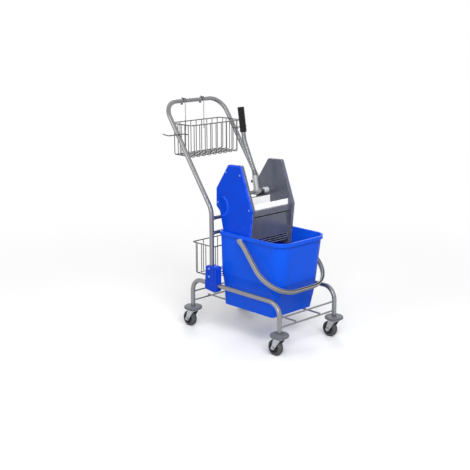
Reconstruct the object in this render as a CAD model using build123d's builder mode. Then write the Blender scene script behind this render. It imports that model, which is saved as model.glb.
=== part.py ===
from build123d import *
import math
import os

# Mop-bucket trolley in millimetres: the floor is Z = 0, the front is +X, the left side is +Y
# and the push handle is at the -X end.

# Clearances
slip_fit = 0.05  # radial play of a pin in its bore
weld_gap = 0.05  # between crossing wires that a weld bead joins
rest_gap = 0.3  # between pieces that lift off or swing past each other

# Frame tubes and rods
tube_diameter = 19
tube_wall = 1.5
rod_diameter = 7
rail_height = 212
rail_bend = 54
upper_rod_height = 154
lower_rod_height = 115
deck_wire_y = 70
deck_wire_overhang = 3

# Casters
front_caster_x = 327
rear_caster_x = -181
caster_y = 161  # also of the side rails and the handle's legs
wheel_diameter = 65
tyre_width = 24
tyre_thickness = 9
tyre_edge = 6
hub_rim_thickness = 4.5
hub_rim_inset = 1
hub_web = 8
hub_boss_diameter = 18
caster_trail = 20
wheel_head_room = 4.5
fork_sheet = 2.5
fork_plate_length = 32
fork_edge = 2
fork_boss_diameter = 18
fork_side_play = 2.2
axle_diameter = 8
axle_head_diameter = 13
axle_head_thickness = 4
stem_diameter = 10
stem_head_diameter = 17
stem_head_thickness = 3.8
stem_plug_length = 30
swivel_play = 0.1
bearing_diameter = 30
bearing_thickness = 3.8
race_thickness = 3
bumper_diameter = 76
bumper_thickness = 12
bumper_edge = 4

# Push handle and its crossbars
handle_leg_x = -60
handle_bend_height = 524
handle_bend = 80
handle_bar_x = -351.2
handle_bar_height = 936.2
handle_corner = 70
crossbar_diameter = 16
upper_crossbar_height = 489
crossbar_spacing = 61

# Clamps that hold the handle legs to the side rails
clamp_rear = 29  # behind the leg's axis
clamp_front = 40  # ahead of it
clamp_depth = 15  # to each side of the tubes' axes
clamp_rise = 80  # above the rail's axis
clamp_drop = 22  # below it
clamp_lean = 8  # of the rear edge, towards its top
clamp_toe = 8  # how much lower the front is
clamp_corner = 8
clamp_wall = 3.5
clamp_rib_width = 5
clamp_rib_depth = 2.5
clamp_rib_spacing = 30
clamp_screw_diameter = 5
clamp_screw_head = 10
clamp_screw_head_thickness = 3
clamp_screw_rises = (34, 68)  # above the rail's axis

# Bucket, with its lengths measured forward from the outside of its rear wall
bucket_rear_space = 18  # from the crossbars' axis to the rear wall
bucket_wall = 2.5
bucket_floor = 5
bucket_height = 313.5
bucket_step_bottom = 89
bucket_step_top = 137
rim_length = 351
rim_half_width = 133
step_top_length = 329
step_top_half_width = 127
step_bottom_length = 310
step_bottom_half_width = 118
base_length = 285
base_half_width = 114
base_rear_draft = 4
front_corner = 58
step_corner = 20
base_corner = 13
rear_corner = 14
lip_width = 5
lip_height = 14
lip_sheet = 2.5
groove_depth = 2

# Bail handle of the bucket
bail_pivot_forward = 133  # from the bucket's rear wall
bail_pivot_drop = 19  # below the rim
bail_reach = 285
bail_corner = 118
bail_straight = 30  # from the pivot to where a leg starts to flare
bail_flare = 9.5
bail_side_play = 5  # between the bucket's lip and the bail
bail_rest_angle = 39.7  # below level
bail_thickness = 12
bail_width = 18
bail_edge = 3
bail_groove_width = 5
bail_groove_depth = 2.5
bail_eye_diameter = 18
bail_pin_diameter = 8
bail_pin_head_diameter = 12
bail_pin_head_thickness = 1.5
bail_boss_diameter = 20

# Wringer, with places measured from the upper crossbar's axis
panel_corners = (
    (57, 223),
    (133, 227),
    (199, 53),
    (181, -123),
    (26, -123),
    (25, -48),
    (7, 25),
    (-14, 44),
    (-13, 120),
)
panel_round = 9
panel_wall = 3
plate_edge = 3
cover_chamfer = 5
chamber_half_width = 106
plate_depth = 13
cover_depth = 6
cover_screw_places = ((48, 192), (129, 188), (0, 62), (181, 54), (160, -80), (45, -80))
cover_screw_diameter = 4
cover_screw_head = 8
cover_screw_rise = 1.5
cover_boss_diameter = 9
screw_grip = 5
front_panel_forward = 178
front_panel_thickness = 4
front_panel_bottom = -72
front_panel_top = 48
front_lip_height = 25
front_lip_depth = 7
front_lip_edge = 2
front_slot_height = 6
front_slot_depth = 2
front_slat_count = 3
front_slat_height = 2.5
front_slat_pitch = 9
front_slat_depth = 4
front_post_width = 6
front_notch_y = 86
front_notch_width = 5
front_notch_height = 20
front_notch_depth = 3
rear_wall_forward = 26
rear_wall_thickness = 4
rear_wall_top = 63
hook_width = 26
hook_y = 60
hook_drop = 14
sieve_clearance = 10
sieve_thickness = 4
sieve_rear_angle = 12
sieve_front_angle = 48
sieve_row_count = 7
sieve_slots_per_row = 4
sieve_slot_length = 42
sieve_slot_width = 7
jaw_thickness = 4
jaw_rise = 22  # above the front lip
press_plate_forward = 8  # from the press shaft's axis to the plate's back
press_plate_thickness = 5
press_plate_top = 33
press_plate_drop = 127
press_plate_play = 1
press_hub_diameter = 22
press_slot_rows = 5
press_slot_columns = 6
press_slot_length = 20
press_slot_width = 6
press_slot_spacing = 32
press_row_spacing = 18
press_shaft_diameter = 14
shaft_end_play = 2

# Lever, with places measured from its axle
axle_forward = 53
axle_rise = 90
lever_axle_diameter = 16
lever_y = 45
lever_low_bend = (-16, 85)
lever_high_bend = (-73.5, 206.5)
lever_end = (-94.5, 339)
lever_bend = 60
lever_tube_diameter = 18.5
lever_tube_start = 16
socket_diameter = 24
socket_length = 68
socket_hub_diameter = 25
socket_hub_width = 30
set_screw_diameter = 6
set_screw_along = 44
set_screw_head = 12
set_screw_head_length = 9
grip_diameter = 28
grip_length = 104
grip_end = 4
grip_rib_count = 13
grip_rib_depth = 1.4
grip_rib_slope = 0.25  # share of a rib's pitch
bush_diameter = 22
bush_flange_diameter = 25
bush_flange_thickness = 22
bush_flange_edge = 2.5

# Gears between the lever's axle and the press shaft
gear_module = 2.5
drive_teeth = 14
press_teeth = 28
pressure_angle = math.radians(20)
gear_backlash = 0.5
gear_root_depth = 1.25  # in modules
flank_steps = 3
gear_width = 8
gear_angle = math.radians(6.5)  # the press shaft lies this far forward of straight below

# Wire baskets
rim_wire = 5
basket_wire = 3.5
hook_wire = 4
wire_bend = 7
wire_end_rise = 1.2  # above the rim wire's middle
upper_basket_depth = 134
upper_basket_half_width = 141.5
upper_basket_drop = 85.2  # from the push bar's axis to the rim
upper_basket_height = 134
upper_rim_corner = 17
upper_cross_wires = 9
upper_cross_spacing = 30.5
upper_side_wires = 5
upper_side_spacing = 22
upper_hanger_y = 52
upper_hanger_tail = 40
hook_tip = 12
arm_drop = 38  # below the rim
arm_half_width = 222.5
arm_weld = 30  # along the basket's side
arm_tail = 35
arm_tip_rise = 3
arm_bend = 7
lower_basket_depth = 130
lower_basket_half_width = 139
lower_basket_drop = 66  # from the lower crossbar's axis to the rim
lower_basket_height = 136
lower_rim_corner = 10
lower_cross_wires = 7
lower_cross_spacing = 41
lower_side_wires = 4
lower_side_spacing = 27
lower_hook_y = 60
lower_hook_tail = 30
lower_hook_tip = 4

# Sizes worked out from those above
tube_radius = tube_diameter / 2
rod_radius = rod_diameter / 2
crossbar_radius = crossbar_diameter / 2
lower_crossbar_height = upper_crossbar_height - crossbar_spacing
wheel_axle_height = wheel_diameter / 2
fork_plate_bottom = wheel_diameter + wheel_head_room
fork_plate_top = fork_plate_bottom + fork_sheet
bearing_bottom = fork_plate_top + swivel_play
bearing_top = bearing_bottom + bearing_thickness
bumper_bottom = bearing_top + race_thickness
leg_bottom = bumper_bottom + bumper_thickness
stem_head_top = fork_plate_bottom - swivel_play
fork_half_gap = tyre_width / 2 + fork_side_play
fork_half_width = fork_half_gap + fork_sheet
deck_wire_height = lower_rod_height + rod_diameter + weld_gap
bucket_bottom = deck_wire_height + rod_radius - groove_depth
bucket_rim = bucket_bottom + bucket_height
bucket_rear = handle_leg_x + bucket_rear_space
axle_x = handle_leg_x + axle_forward
axle_height = upper_crossbar_height + axle_rise
gear_distance = gear_module * (drive_teeth + press_teeth) / 2
press_x = axle_x + gear_distance * math.sin(gear_angle)
press_height = axle_height - gear_distance * math.cos(gear_angle)
seam_y = chamber_half_width + plate_depth
cover_y = seam_y + cover_depth
sieve_sweep = 2 * sieve_rear_angle + sieve_front_angle
upper_basket_rim = handle_bar_height - upper_basket_drop
upper_basket_floor = upper_basket_rim - upper_basket_height
arm_height = upper_basket_rim - arm_drop
lower_basket_rim = lower_crossbar_height - lower_basket_drop
lower_basket_floor = lower_basket_rim - lower_basket_height
cover_screw_points = [
    (handle_leg_x + x, upper_crossbar_height + z) for x, z in cover_screw_places
]
standing = (Align.CENTER, Align.CENTER, Align.MIN)
sides = {"left": 1, "right": -1}

os.makedirs("parts", exist_ok=True)


def side_plane(y):
    """Give the upright plane at width y, with X along it and Z up it."""
    return Plane(origin=(0, y, 0), x_dir=(1, 0, 0), z_dir=(0, -1, 0))


def across(x, y, z):
    """Give a place whose own Z axis runs across the trolley, along -Y."""
    return Location(Plane(origin=(x, y, z), x_dir=(1, 0, 0), z_dir=(0, -1, 0)))


def bent_tube(points, bend, diameter, wall=0):
    """Sweep a round tube, or a solid wire where wall is 0, along runs with rounded corners."""
    with BuildPart() as tube:
        with BuildLine() as route:
            FilletPolyline(*points, radius=bend)
        with BuildSketch(Plane(origin=route.wire() @ 0, z_dir=route.wire() % 0)):
            Circle(diameter / 2)
            if wall:
                Circle(diameter / 2 - wall, mode=Mode.SUBTRACT)
        sweep()
    return tube.part


def wire_ring(rear, front, half_width, height, corner, diameter):
    """Sweep a wire round a level rectangle with rounded corners."""
    with BuildPart() as ring:
        with BuildLine() as route:
            FilletPolyline(
                (rear, half_width, height),
                (front, half_width, height),
                (front, -half_width, height),
                (rear, -half_width, height),
                radius=corner,
                close=True,
            )
        with BuildSketch(Plane(origin=route.wire() @ 0, z_dir=route.wire() % 0)):
            Circle(diameter / 2)
        sweep()
    return ring.part


def hook_wire_over(x, height, bar_radius, start_height, tip, y, behind):
    """Bend a hanger wire up beside a bar, over it and down past its far side."""
    reach = bar_radius + rest_gap + hook_wire / 2
    near = x + behind * reach
    far = x - behind * reach
    with BuildPart() as hook:
        with BuildLine(side_plane(y)) as route:
            Line((near, start_height), (near, height))
            ThreePointArc((near, height), (x, height + reach), (far, height))
            Line((far, height), (far, height - tip))
        with BuildSketch(Plane(origin=route.wire() @ 0, z_dir=route.wire() % 0)):
            Circle(hook_wire / 2)
        sweep()
    return hook.part


def spread(count, spacing):
    """Give evenly spaced places about zero."""
    return [spacing * (number - (count - 1) / 2) for number in range(count)]


# Side rails: one inverted U of tube on each side, with a caster under each leg
for side, sign in sides.items():
    rail = bent_tube(
        [
            (rear_caster_x, sign * caster_y, leg_bottom),
            (rear_caster_x, sign * caster_y, rail_height),
            (front_caster_x, sign * caster_y, rail_height),
            (front_caster_x, sign * caster_y, leg_bottom),
        ],
        rail_bend,
        tube_diameter,
        tube_wall,
    )
    rail.label = f"{side}_side_rail"
    export_step(rail, f"parts/{side}_side_rail.step")

# Cross rods: two between the front legs and two between the rear legs, coped to the tubes
with BuildPart() as cross_rods:
    for leg_x in (front_caster_x, rear_caster_x):
        for rod_height in (upper_rod_height, lower_rod_height):
            with Locations(across(leg_x, 0, rod_height)):
                Cylinder(rod_radius, 2 * caster_y)
        for sign in sides.values():
            with Locations((leg_x, sign * caster_y, leg_bottom)):
                Cylinder(tube_radius, rail_height, align=standing, mode=Mode.SUBTRACT)
cross_rods.part.label = "cross_rods"
export_step(cross_rods.part, "parts/cross_rods.step")

# Deck wires: two long wires on the lower rods, which carry the bucket
with BuildPart() as deck_wires:
    for sign in sides.values():
        deck_end = (rear_caster_x - deck_wire_overhang, sign * deck_wire_y, deck_wire_height)
        with BuildSketch(Plane(origin=deck_end, z_dir=(1, 0, 0))):
            Circle(rod_radius)
        extrude(amount=front_caster_x - rear_caster_x + 2 * deck_wire_overhang)
deck_wires.part.label = "deck_wires"
export_step(deck_wires.part, "parts/deck_wires.step")

# Push handle: one bent tube from the foot of one leg round to the foot of the other
handle_foot = rail_height + tube_radius + clamp_wall
handle_tube = bent_tube(
    [
        (handle_leg_x, -caster_y, handle_foot),
        (handle_leg_x, -caster_y, handle_bend_height),
        (handle_bar_x, -caster_y, handle_bar_height),
        (handle_bar_x, caster_y, handle_bar_height),
        (handle_leg_x, caster_y, handle_bend_height),
        (handle_leg_x, caster_y, handle_foot),
    ],
    [handle_bend, handle_corner, handle_corner, handle_bend],
    tube_diameter,
    tube_wall,
)
with BuildPart() as push_handle:
    add(handle_tube)
    for screw_rise in clamp_screw_rises:
        with Locations(across(handle_leg_x, 0, rail_height + screw_rise)):
            Cylinder(clamp_screw_diameter / 2, 2 * caster_y + 2 * tube_diameter, mode=Mode.SUBTRACT)
push_handle.part.label = "push_handle"
export_step(push_handle.part, "parts/push_handle.step")

# Crossbars between the handle's legs: the upper one carries the wringer, the lower one a basket
crossbar_heights = {"upper": upper_crossbar_height, "lower": lower_crossbar_height}
for level, bar_height in crossbar_heights.items():
    with BuildPart() as crossbar:
        with Locations(across(handle_leg_x, 0, bar_height)):
            Cylinder(crossbar_radius, 2 * caster_y)
            Cylinder(crossbar_radius - tube_wall, 2 * caster_y, mode=Mode.SUBTRACT)
        for sign in sides.values():
            with Locations((handle_leg_x, sign * caster_y, bar_height)):
                Cylinder(tube_radius, 2 * crossbar_diameter, mode=Mode.SUBTRACT)
    crossbar.part.label = f"{level}_crossbar"
    export_step(crossbar.part, f"parts/{level}_crossbar.step")

# Clamps: two halves split on the tubes' middle, bored for the leg from above and for the rail
clamp_inner_y = caster_y - clamp_depth
clamp_outer_y = caster_y + clamp_depth
clamp_length = clamp_rear + clamp_front
clamp_height = clamp_rise + clamp_drop
clamp_middle_x = handle_leg_x + (clamp_front - clamp_rear) / 2
clamp_middle = (clamp_middle_x, rail_height + (clamp_rise - clamp_drop) / 2)
clamp_corners = [
    (handle_leg_x - clamp_rear, rail_height - clamp_drop),
    (handle_leg_x + clamp_front, rail_height - clamp_drop - clamp_toe),
    (handle_leg_x + clamp_front, rail_height + clamp_rise),
    (handle_leg_x - clamp_rear + clamp_lean, rail_height + clamp_rise),
]
clamp_screw_length = 2 * clamp_depth - clamp_wall
clamp_screw_y = clamp_outer_y - clamp_screw_length / 2
for side, sign in sides.items():
    halves = {
        "inner": (clamp_inner_y, caster_y - weld_gap),
        "outer": (caster_y + weld_gap, clamp_outer_y),
    }
    for half, (near_y, far_y) in halves.items():
        with BuildPart() as clamp:
            with BuildSketch(side_plane(sign * (near_y + far_y) / 2)) as clamp_face:
                with BuildLine():
                    Polyline(clamp_corners, close=True)
                make_face()
                chamfer(clamp_face.vertices(), clamp_corner)
            extrude(amount=(far_y - near_y) / 2, both=True)
            if half == "outer":
                with BuildSketch(side_plane(sign * far_y)):
                    with Locations(clamp_middle):
                        with GridLocations(clamp_rib_spacing, 1, 2, 1):
                            Rectangle(clamp_rib_width, clamp_height - 2 * clamp_corner)
                extrude(amount=-sign * clamp_rib_depth)
            with Locations((handle_leg_x, sign * caster_y, handle_foot)):
                Cylinder(tube_radius + slip_fit, clamp_height, align=standing, mode=Mode.SUBTRACT)
            with Locations(Location((handle_leg_x, sign * caster_y, rail_height), (0, 90, 0))):
                Cylinder(tube_radius + slip_fit, 2 * clamp_length, mode=Mode.SUBTRACT)
            for screw_rise in clamp_screw_rises:
                with Locations(across(handle_leg_x, sign * clamp_screw_y, rail_height + screw_rise)):
                    Cylinder(clamp_screw_diameter / 2, clamp_screw_length, mode=Mode.SUBTRACT)
        clamp.part.label = f"{side}_clamp_{half}"
        export_step(clamp.part, f"parts/{side}_clamp_{half}.step")

with BuildPart() as clamp_screws:
    for sign in sides.values():
        for screw_rise in clamp_screw_rises:
            with Locations(across(handle_leg_x, sign * clamp_screw_y, rail_height + screw_rise)):
                Cylinder(clamp_screw_diameter / 2 - slip_fit, clamp_screw_length)
            head_y = clamp_outer_y + clamp_screw_head_thickness / 2
            with Locations(across(handle_leg_x, sign * head_y, rail_height + screw_rise)):
                Cylinder(clamp_screw_head / 2, clamp_screw_head_thickness)
clamp_screws.part.label = "clamp_screws"
export_step(clamp_screws.part, "parts/clamp_screws.step")

# Casters: stem, bumper disc and swivel bearing stay with the leg
caster_places = {
    "front_left": (front_caster_x, caster_y),
    "front_right": (front_caster_x, -caster_y),
    "rear_left": (rear_caster_x, caster_y),
    "rear_right": (rear_caster_x, -caster_y),
}


def under_legs(height):
    """Give the four places under the frame's legs at one height."""
    return [(x, y, height) for x, y in caster_places.values()]


with BuildPart() as caster_stems:
    with Locations(*under_legs(stem_head_top - stem_head_thickness)):
        Cylinder(stem_head_diameter / 2, stem_head_thickness, align=standing)
    with Locations(*under_legs(stem_head_top)):
        Cylinder(stem_diameter / 2, leg_bottom - stem_head_top, align=standing)
    with Locations(*under_legs(bearing_top)):
        Cylinder(bearing_diameter / 2, race_thickness, align=standing)
    with Locations(*under_legs(leg_bottom)):
        Cylinder(tube_radius - tube_wall - slip_fit, stem_plug_length, align=standing)
caster_stems.part.label = "caster_stems"
export_step(caster_stems.part, "parts/caster_stems.step")

with BuildPart() as caster_bumpers:
    with Locations(*under_legs(bumper_bottom)):
        Cylinder(bumper_diameter / 2, bumper_thickness, align=standing)
        Cylinder(stem_diameter / 2 + slip_fit, bumper_thickness, align=standing, mode=Mode.SUBTRACT)
    outer_edges = caster_bumpers.edges().filter_by(GeomType.CIRCLE).group_by(SortBy.RADIUS)[-1]
    fillet(outer_edges, bumper_edge)
caster_bumpers.part.label = "caster_bumpers"
export_step(caster_bumpers.part, "parts/caster_bumpers.step")

with BuildPart() as swivel_bearings:
    with Locations(*under_legs(bearing_bottom)):
        Cylinder(bearing_diameter / 2, bearing_thickness, align=standing)
        Cylinder(stem_diameter / 2 + slip_fit, bearing_thickness, align=standing, mode=Mode.SUBTRACT)
swivel_bearings.part.label = "swivel_bearings"
export_step(swivel_bearings.part, "parts/swivel_bearings.step")

# Casters: fork and axle swivel together, hub and tyre turn on the axle
tyre_inner_radius = wheel_diameter / 2 - tyre_thickness
hub_radius = tyre_inner_radius - slip_fit
hub_face = fork_half_gap - 2 * swivel_play
for place, (stem_x, stem_y) in caster_places.items():
    wheel_x = stem_x - caster_trail
    wheel_axis = Axis((wheel_x, stem_y, wheel_axle_height), (0, 1, 0))
    wheel_section = Plane(
        origin=(wheel_x, stem_y, wheel_axle_height), x_dir=(0, 1, 0), z_dir=(1, 0, 0)
    )

    with BuildPart() as fork:
        with BuildSketch(side_plane(stem_y)):
            with Locations((wheel_x, wheel_axle_height)):
                Circle(fork_boss_diameter / 2)
            with Locations((stem_x, fork_plate_top)):
                Rectangle(fork_plate_length, fork_sheet, align=(Align.CENTER, Align.MAX))
            make_hull()
        extrude(amount=fork_half_width, both=True)
        with Locations((stem_x, stem_y, 0)):
            Box(
                2 * wheel_diameter,
                2 * fork_half_gap,
                fork_plate_bottom,
                align=standing,
                mode=Mode.SUBTRACT,
            )
            Cylinder(
                stem_diameter / 2 + slip_fit, wheel_diameter * 2, align=standing, mode=Mode.SUBTRACT
            )
        with Locations(across(wheel_x, stem_y, wheel_axle_height)):
            Cylinder(axle_diameter / 2 + slip_fit, 4 * fork_half_width, mode=Mode.SUBTRACT)
        fillet(fork.edges().filter_by(Axis.X).group_by(Axis.Z)[-1], fork_edge)
    fork.part.label = f"{place}_fork"
    export_step(fork.part, f"parts/{place}_fork.step")

    with BuildPart() as axle:
        with Locations(across(wheel_x, stem_y, wheel_axle_height)):
            Cylinder(axle_diameter / 2, 2 * fork_half_width)
        for sign in sides.values():
            head_y = stem_y + sign * (fork_half_width + axle_head_thickness / 2)
            with Locations(across(wheel_x, head_y, wheel_axle_height)):
                Cylinder(axle_head_diameter / 2, axle_head_thickness)
    axle.part.label = f"{place}_axle"
    export_step(axle.part, f"parts/{place}_axle.step")

    with BuildPart() as hub:
        with BuildSketch(wheel_section):
            with Locations((0, hub_boss_diameter / 4)):
                Rectangle(2 * hub_face, hub_boss_diameter / 2)
            Rectangle(hub_web, hub_radius, align=(Align.CENTER, Align.MIN))
            with Locations((0, hub_radius)):
                Rectangle(
                    tyre_width - 2 * hub_rim_inset, hub_rim_thickness, align=(Align.CENTER, Align.MAX)
                )
            Rectangle(2 * tyre_width, axle_diameter + 2 * slip_fit, mode=Mode.SUBTRACT)
        revolve(axis=wheel_axis)
    hub.part.label = f"{place}_hub"
    export_step(hub.part, f"parts/{place}_hub.step")

    with BuildPart() as tyre:
        with BuildSketch(wheel_section) as tread:
            with Locations((0, tyre_inner_radius)):
                Rectangle(tyre_width, tyre_thickness, align=(Align.CENTER, Align.MIN))
            fillet(tread.vertices().group_by(Axis.Y)[-1], tyre_edge)
        revolve(axis=wheel_axis)
    tyre.part.label = f"{place}_tyre"
    export_step(tyre.part, f"parts/{place}_tyre.step")

# Bucket: two drafted boxes with a sloped step between them, and a turned-down lip at the rim
bucket_levels = (
    (0, base_rear_draft, base_length, base_half_width, base_corner),
    (
        bucket_step_bottom,
        base_rear_draft / 2,
        step_bottom_length,
        step_bottom_half_width,
        step_corner,
    ),
    (bucket_step_top, 0, step_top_length, step_top_half_width, front_corner),
    (bucket_height, 0, rim_length, rim_half_width, front_corner),
)


def bucket_plan(level, inset, lift=0):
    """Draw the bucket's plan at one of its levels, drawn in by inset on every side."""
    rise, rear, front, half_width, corner = bucket_levels[level]
    with BuildSketch(Plane.XY.offset(bucket_bottom + rise + lift)) as plan:
        with Locations((bucket_rear + (rear + front) / 2, 0)):
            Rectangle(front - rear - 2 * inset, 2 * (half_width - inset))
        fillet(plan.vertices().group_by(Axis.X)[-1], corner - inset)
        fillet(plan.vertices().group_by(Axis.X)[0], rear_corner - inset)
    return plan.sketch


outer_plans = [bucket_plan(level, 0) for level in range(4)]
inner_plans = [bucket_plan(level, bucket_wall) for level in range(4)]
inner_plans[0] = bucket_plan(0, bucket_wall, bucket_floor)
lip_plan = bucket_plan(3, -lip_width)
lip_inside = bucket_plan(3, lip_sheet - lip_width, -lip_sheet)
pivot_x = bucket_rear + bail_pivot_forward
pivot_height = bucket_rim - bail_pivot_drop
wall_lean = (rim_half_width - step_top_half_width) / (bucket_height - bucket_step_top)
pivot_wall_y = rim_half_width - bail_pivot_drop * wall_lean
bail_inner_y = rim_half_width + lip_width + bail_side_play
bail_boss_y = bail_inner_y - rest_gap
bail_outer_y = bail_inner_y + bail_thickness
bail_y = bail_inner_y + bail_thickness / 2
bail_corner_y = bail_y + (bail_reach - bail_straight) * math.tan(math.radians(bail_flare))

with BuildPart() as bucket:
    extrude(lip_plan, amount=-lip_height)
    extrude(lip_inside, amount=lip_sheet - lip_height, mode=Mode.SUBTRACT)
    for level in range(3):
        loft(outer_plans[level : level + 2])
    for level in range(3):
        loft(inner_plans[level : level + 2], mode=Mode.SUBTRACT)
    for sign in sides.values():
        boss_length = bail_boss_y - pivot_wall_y + bucket_wall / 2
        boss_y = bail_boss_y - boss_length / 2
        with Locations(across(pivot_x, sign * boss_y, pivot_height)):
            Cylinder(bail_boss_diameter / 2, boss_length)
        pin_hole_length = bail_boss_y - pivot_wall_y
        with Locations(across(pivot_x, sign * (bail_boss_y - pin_hole_length / 2), pivot_height)):
            Cylinder(bail_pin_diameter / 2 + slip_fit, pin_hole_length, mode=Mode.SUBTRACT)
        groove_end = (bucket_rear, sign * deck_wire_y, deck_wire_height)
        with BuildSketch(Plane(origin=groove_end, z_dir=(1, 0, 0))):
            Circle(rod_radius + rest_gap)
        extrude(amount=rim_length, mode=Mode.SUBTRACT)
bucket.part.label = "bucket"
export_step(bucket.part, "parts/bucket.step")

# Bail: a grooved strap that flares out and bends round the bucket's front, with an eye at each end
bail_slope = math.radians(bail_rest_angle)
bail_forward = (math.cos(bail_slope), 0, -math.sin(bail_slope))
bail_plane = Plane(
    origin=(pivot_x, 0, pivot_height),
    x_dir=bail_forward,
    z_dir=(math.sin(bail_slope), 0, math.cos(bail_slope)),
)
with BuildPart() as bail:
    with BuildLine(bail_plane) as bail_route:
        FilletPolyline(
            (0, -bail_y),
            (bail_straight, -bail_y),
            (bail_reach, -bail_corner_y),
            (bail_reach, bail_corner_y),
            (bail_straight, bail_y),
            (0, bail_y),
            radius=bail_corner,
        )
    with BuildSketch(Plane(origin=bail_route.wire() @ 0, x_dir=(0, 1, 0), z_dir=bail_forward)):
        RectangleRounded(bail_thickness, bail_width, bail_edge)
        with GridLocations(1, bail_width, 1, 2):
            Rectangle(bail_groove_width, 2 * bail_groove_depth, mode=Mode.SUBTRACT)
    sweep()
    for sign in sides.values():
        with Locations(across(pivot_x, sign * bail_y, pivot_height)):
            Cylinder(bail_eye_diameter / 2, bail_thickness)
            Cylinder(bail_pin_diameter / 2 + slip_fit, bail_thickness, mode=Mode.SUBTRACT)
bail.part.label = "bail"
export_step(bail.part, "parts/bail.step")

with BuildPart() as bail_pins:
    for sign in sides.values():
        pin_end_y = bail_outer_y + rest_gap
        pin_length = pin_end_y - pivot_wall_y
        with Locations(across(pivot_x, sign * (pin_end_y - pin_length / 2), pivot_height)):
            Cylinder(bail_pin_diameter / 2, pin_length)
        head_y = pin_end_y + bail_pin_head_thickness / 2
        with Locations(across(pivot_x, sign * head_y, pivot_height)):
            Cylinder(bail_pin_head_diameter / 2, bail_pin_head_thickness)
bail_pins.part.label = "bail_pins"
export_step(bail_pins.part, "parts/bail_pins.step")


# Wringer side panels: a tray-shaped inner plate and a shallow cover, with the gears between
def panel_face(y, inset=0):
    """Draw a side panel's outline at width y, drawn in by inset."""
    with BuildSketch(side_plane(y)) as face:
        with BuildLine():
            Polyline(
                [(handle_leg_x + x, upper_crossbar_height + z) for x, z in panel_corners], close=True
            )
        make_face()
        fillet(face.vertices(), panel_round)
        if inset:
            offset(amount=-inset, mode=Mode.REPLACE)
    return face.sketch


for side, sign in sides.items():
    with BuildPart() as inner_plate:
        extrude(panel_face(sign * seam_y), amount=sign * plate_depth)
        fillet(inner_plate.faces().sort_by(Axis.Y)[0 if sign > 0 else -1].edges(), plate_edge)
        pocket_depth = plate_depth - panel_wall
        extrude(
            panel_face(sign * seam_y, panel_wall), amount=sign * pocket_depth, mode=Mode.SUBTRACT
        )
        for screw_x, screw_height in cover_screw_points:
            boss_y = sign * (seam_y - pocket_depth / 2)
            with Locations(across(screw_x, boss_y, screw_height)):
                Cylinder(cover_boss_diameter / 2, pocket_depth)
                Cylinder(cover_screw_diameter / 2 + slip_fit, pocket_depth, mode=Mode.SUBTRACT)
        for bore_x, bore_height, bore in (
            (axle_x, axle_height, bush_diameter),
            (press_x, press_height, press_shaft_diameter),
        ):
            with Locations(across(bore_x, sign * chamber_half_width, bore_height)):
                Cylinder(bore / 2 + slip_fit, 2 * plate_depth, mode=Mode.SUBTRACT)
    inner_plate.part.label = f"{side}_wringer_plate"
    export_step(inner_plate.part, f"parts/{side}_wringer_plate.step")

    with BuildPart() as cover:
        extrude(panel_face(sign * cover_y), amount=sign * cover_depth)
        chamfer(cover.faces().sort_by(Axis.Y)[-1 if sign > 0 else 0].edges(), cover_chamfer)
        pocket_depth = cover_depth - panel_wall
        extrude(
            panel_face(sign * (cover_y - panel_wall), panel_wall + cover_chamfer),
            amount=sign * pocket_depth,
            mode=Mode.SUBTRACT,
        )
        for screw_x, screw_height in cover_screw_points:
            with Locations(across(screw_x, sign * (seam_y + pocket_depth / 2), screw_height)):
                Cylinder(cover_boss_diameter / 2, pocket_depth)
            with Locations(across(screw_x, sign * cover_y, screw_height)):
                Cylinder(cover_screw_diameter / 2 + slip_fit, 2 * cover_depth, mode=Mode.SUBTRACT)
    cover.part.label = f"{side}_wringer_cover"
    export_step(cover.part, f"parts/{side}_wringer_cover.step")

# Wringer chamber: front panel with a lip, a shadow slot, a drain notch and drip slats
panel_x = handle_leg_x + front_panel_forward
panel_back = panel_x - front_panel_thickness
panel_low = upper_crossbar_height + front_panel_bottom
panel_high = upper_crossbar_height + front_panel_top
lip_low = panel_high - front_lip_height
slat_bottom = panel_low - front_slat_count * front_slat_pitch
with BuildPart() as front_panel:
    with BuildSketch(side_plane(0)):
        with Locations((panel_x, panel_high)):
            Rectangle(front_panel_thickness, panel_high - panel_low, align=(Align.MAX, Align.MAX))
            Rectangle(front_lip_depth, front_lip_height, align=(Align.MIN, Align.MAX))
        for slat in range(front_slat_count):
            with Locations((panel_x, slat_bottom + slat * front_slat_pitch)):
                Rectangle(front_slat_depth, front_slat_height, align=(Align.MAX, Align.MIN))
    extrude(amount=chamber_half_width, both=True)
    fillet(front_panel.edges().filter_by(Axis.Y).group_by(Axis.X)[-1], front_lip_edge)
    for sign in sides.values():
        with Locations((panel_x, sign * (chamber_half_width - front_post_width / 2), slat_bottom)):
            Box(
                front_panel_thickness,
                front_post_width,
                panel_low - slat_bottom,
                align=(Align.MAX, Align.CENTER, Align.MIN),
            )
    with Locations((panel_x, 0, lip_low)):
        Box(
            front_slot_depth,
            2 * (chamber_half_width - front_post_width),
            front_slot_height,
            align=(Align.MAX, Align.CENTER, Align.MAX),
            mode=Mode.SUBTRACT,
        )
    with Locations((panel_x + front_lip_depth, -front_notch_y, lip_low)):
        Box(
            front_notch_depth,
            front_notch_width,
            front_notch_height,
            align=(Align.MAX, Align.CENTER, Align.MIN),
            mode=Mode.SUBTRACT,
        )
front_panel.part.label = "wringer_front_panel"
export_step(front_panel.part, "parts/wringer_front_panel.step")

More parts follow.
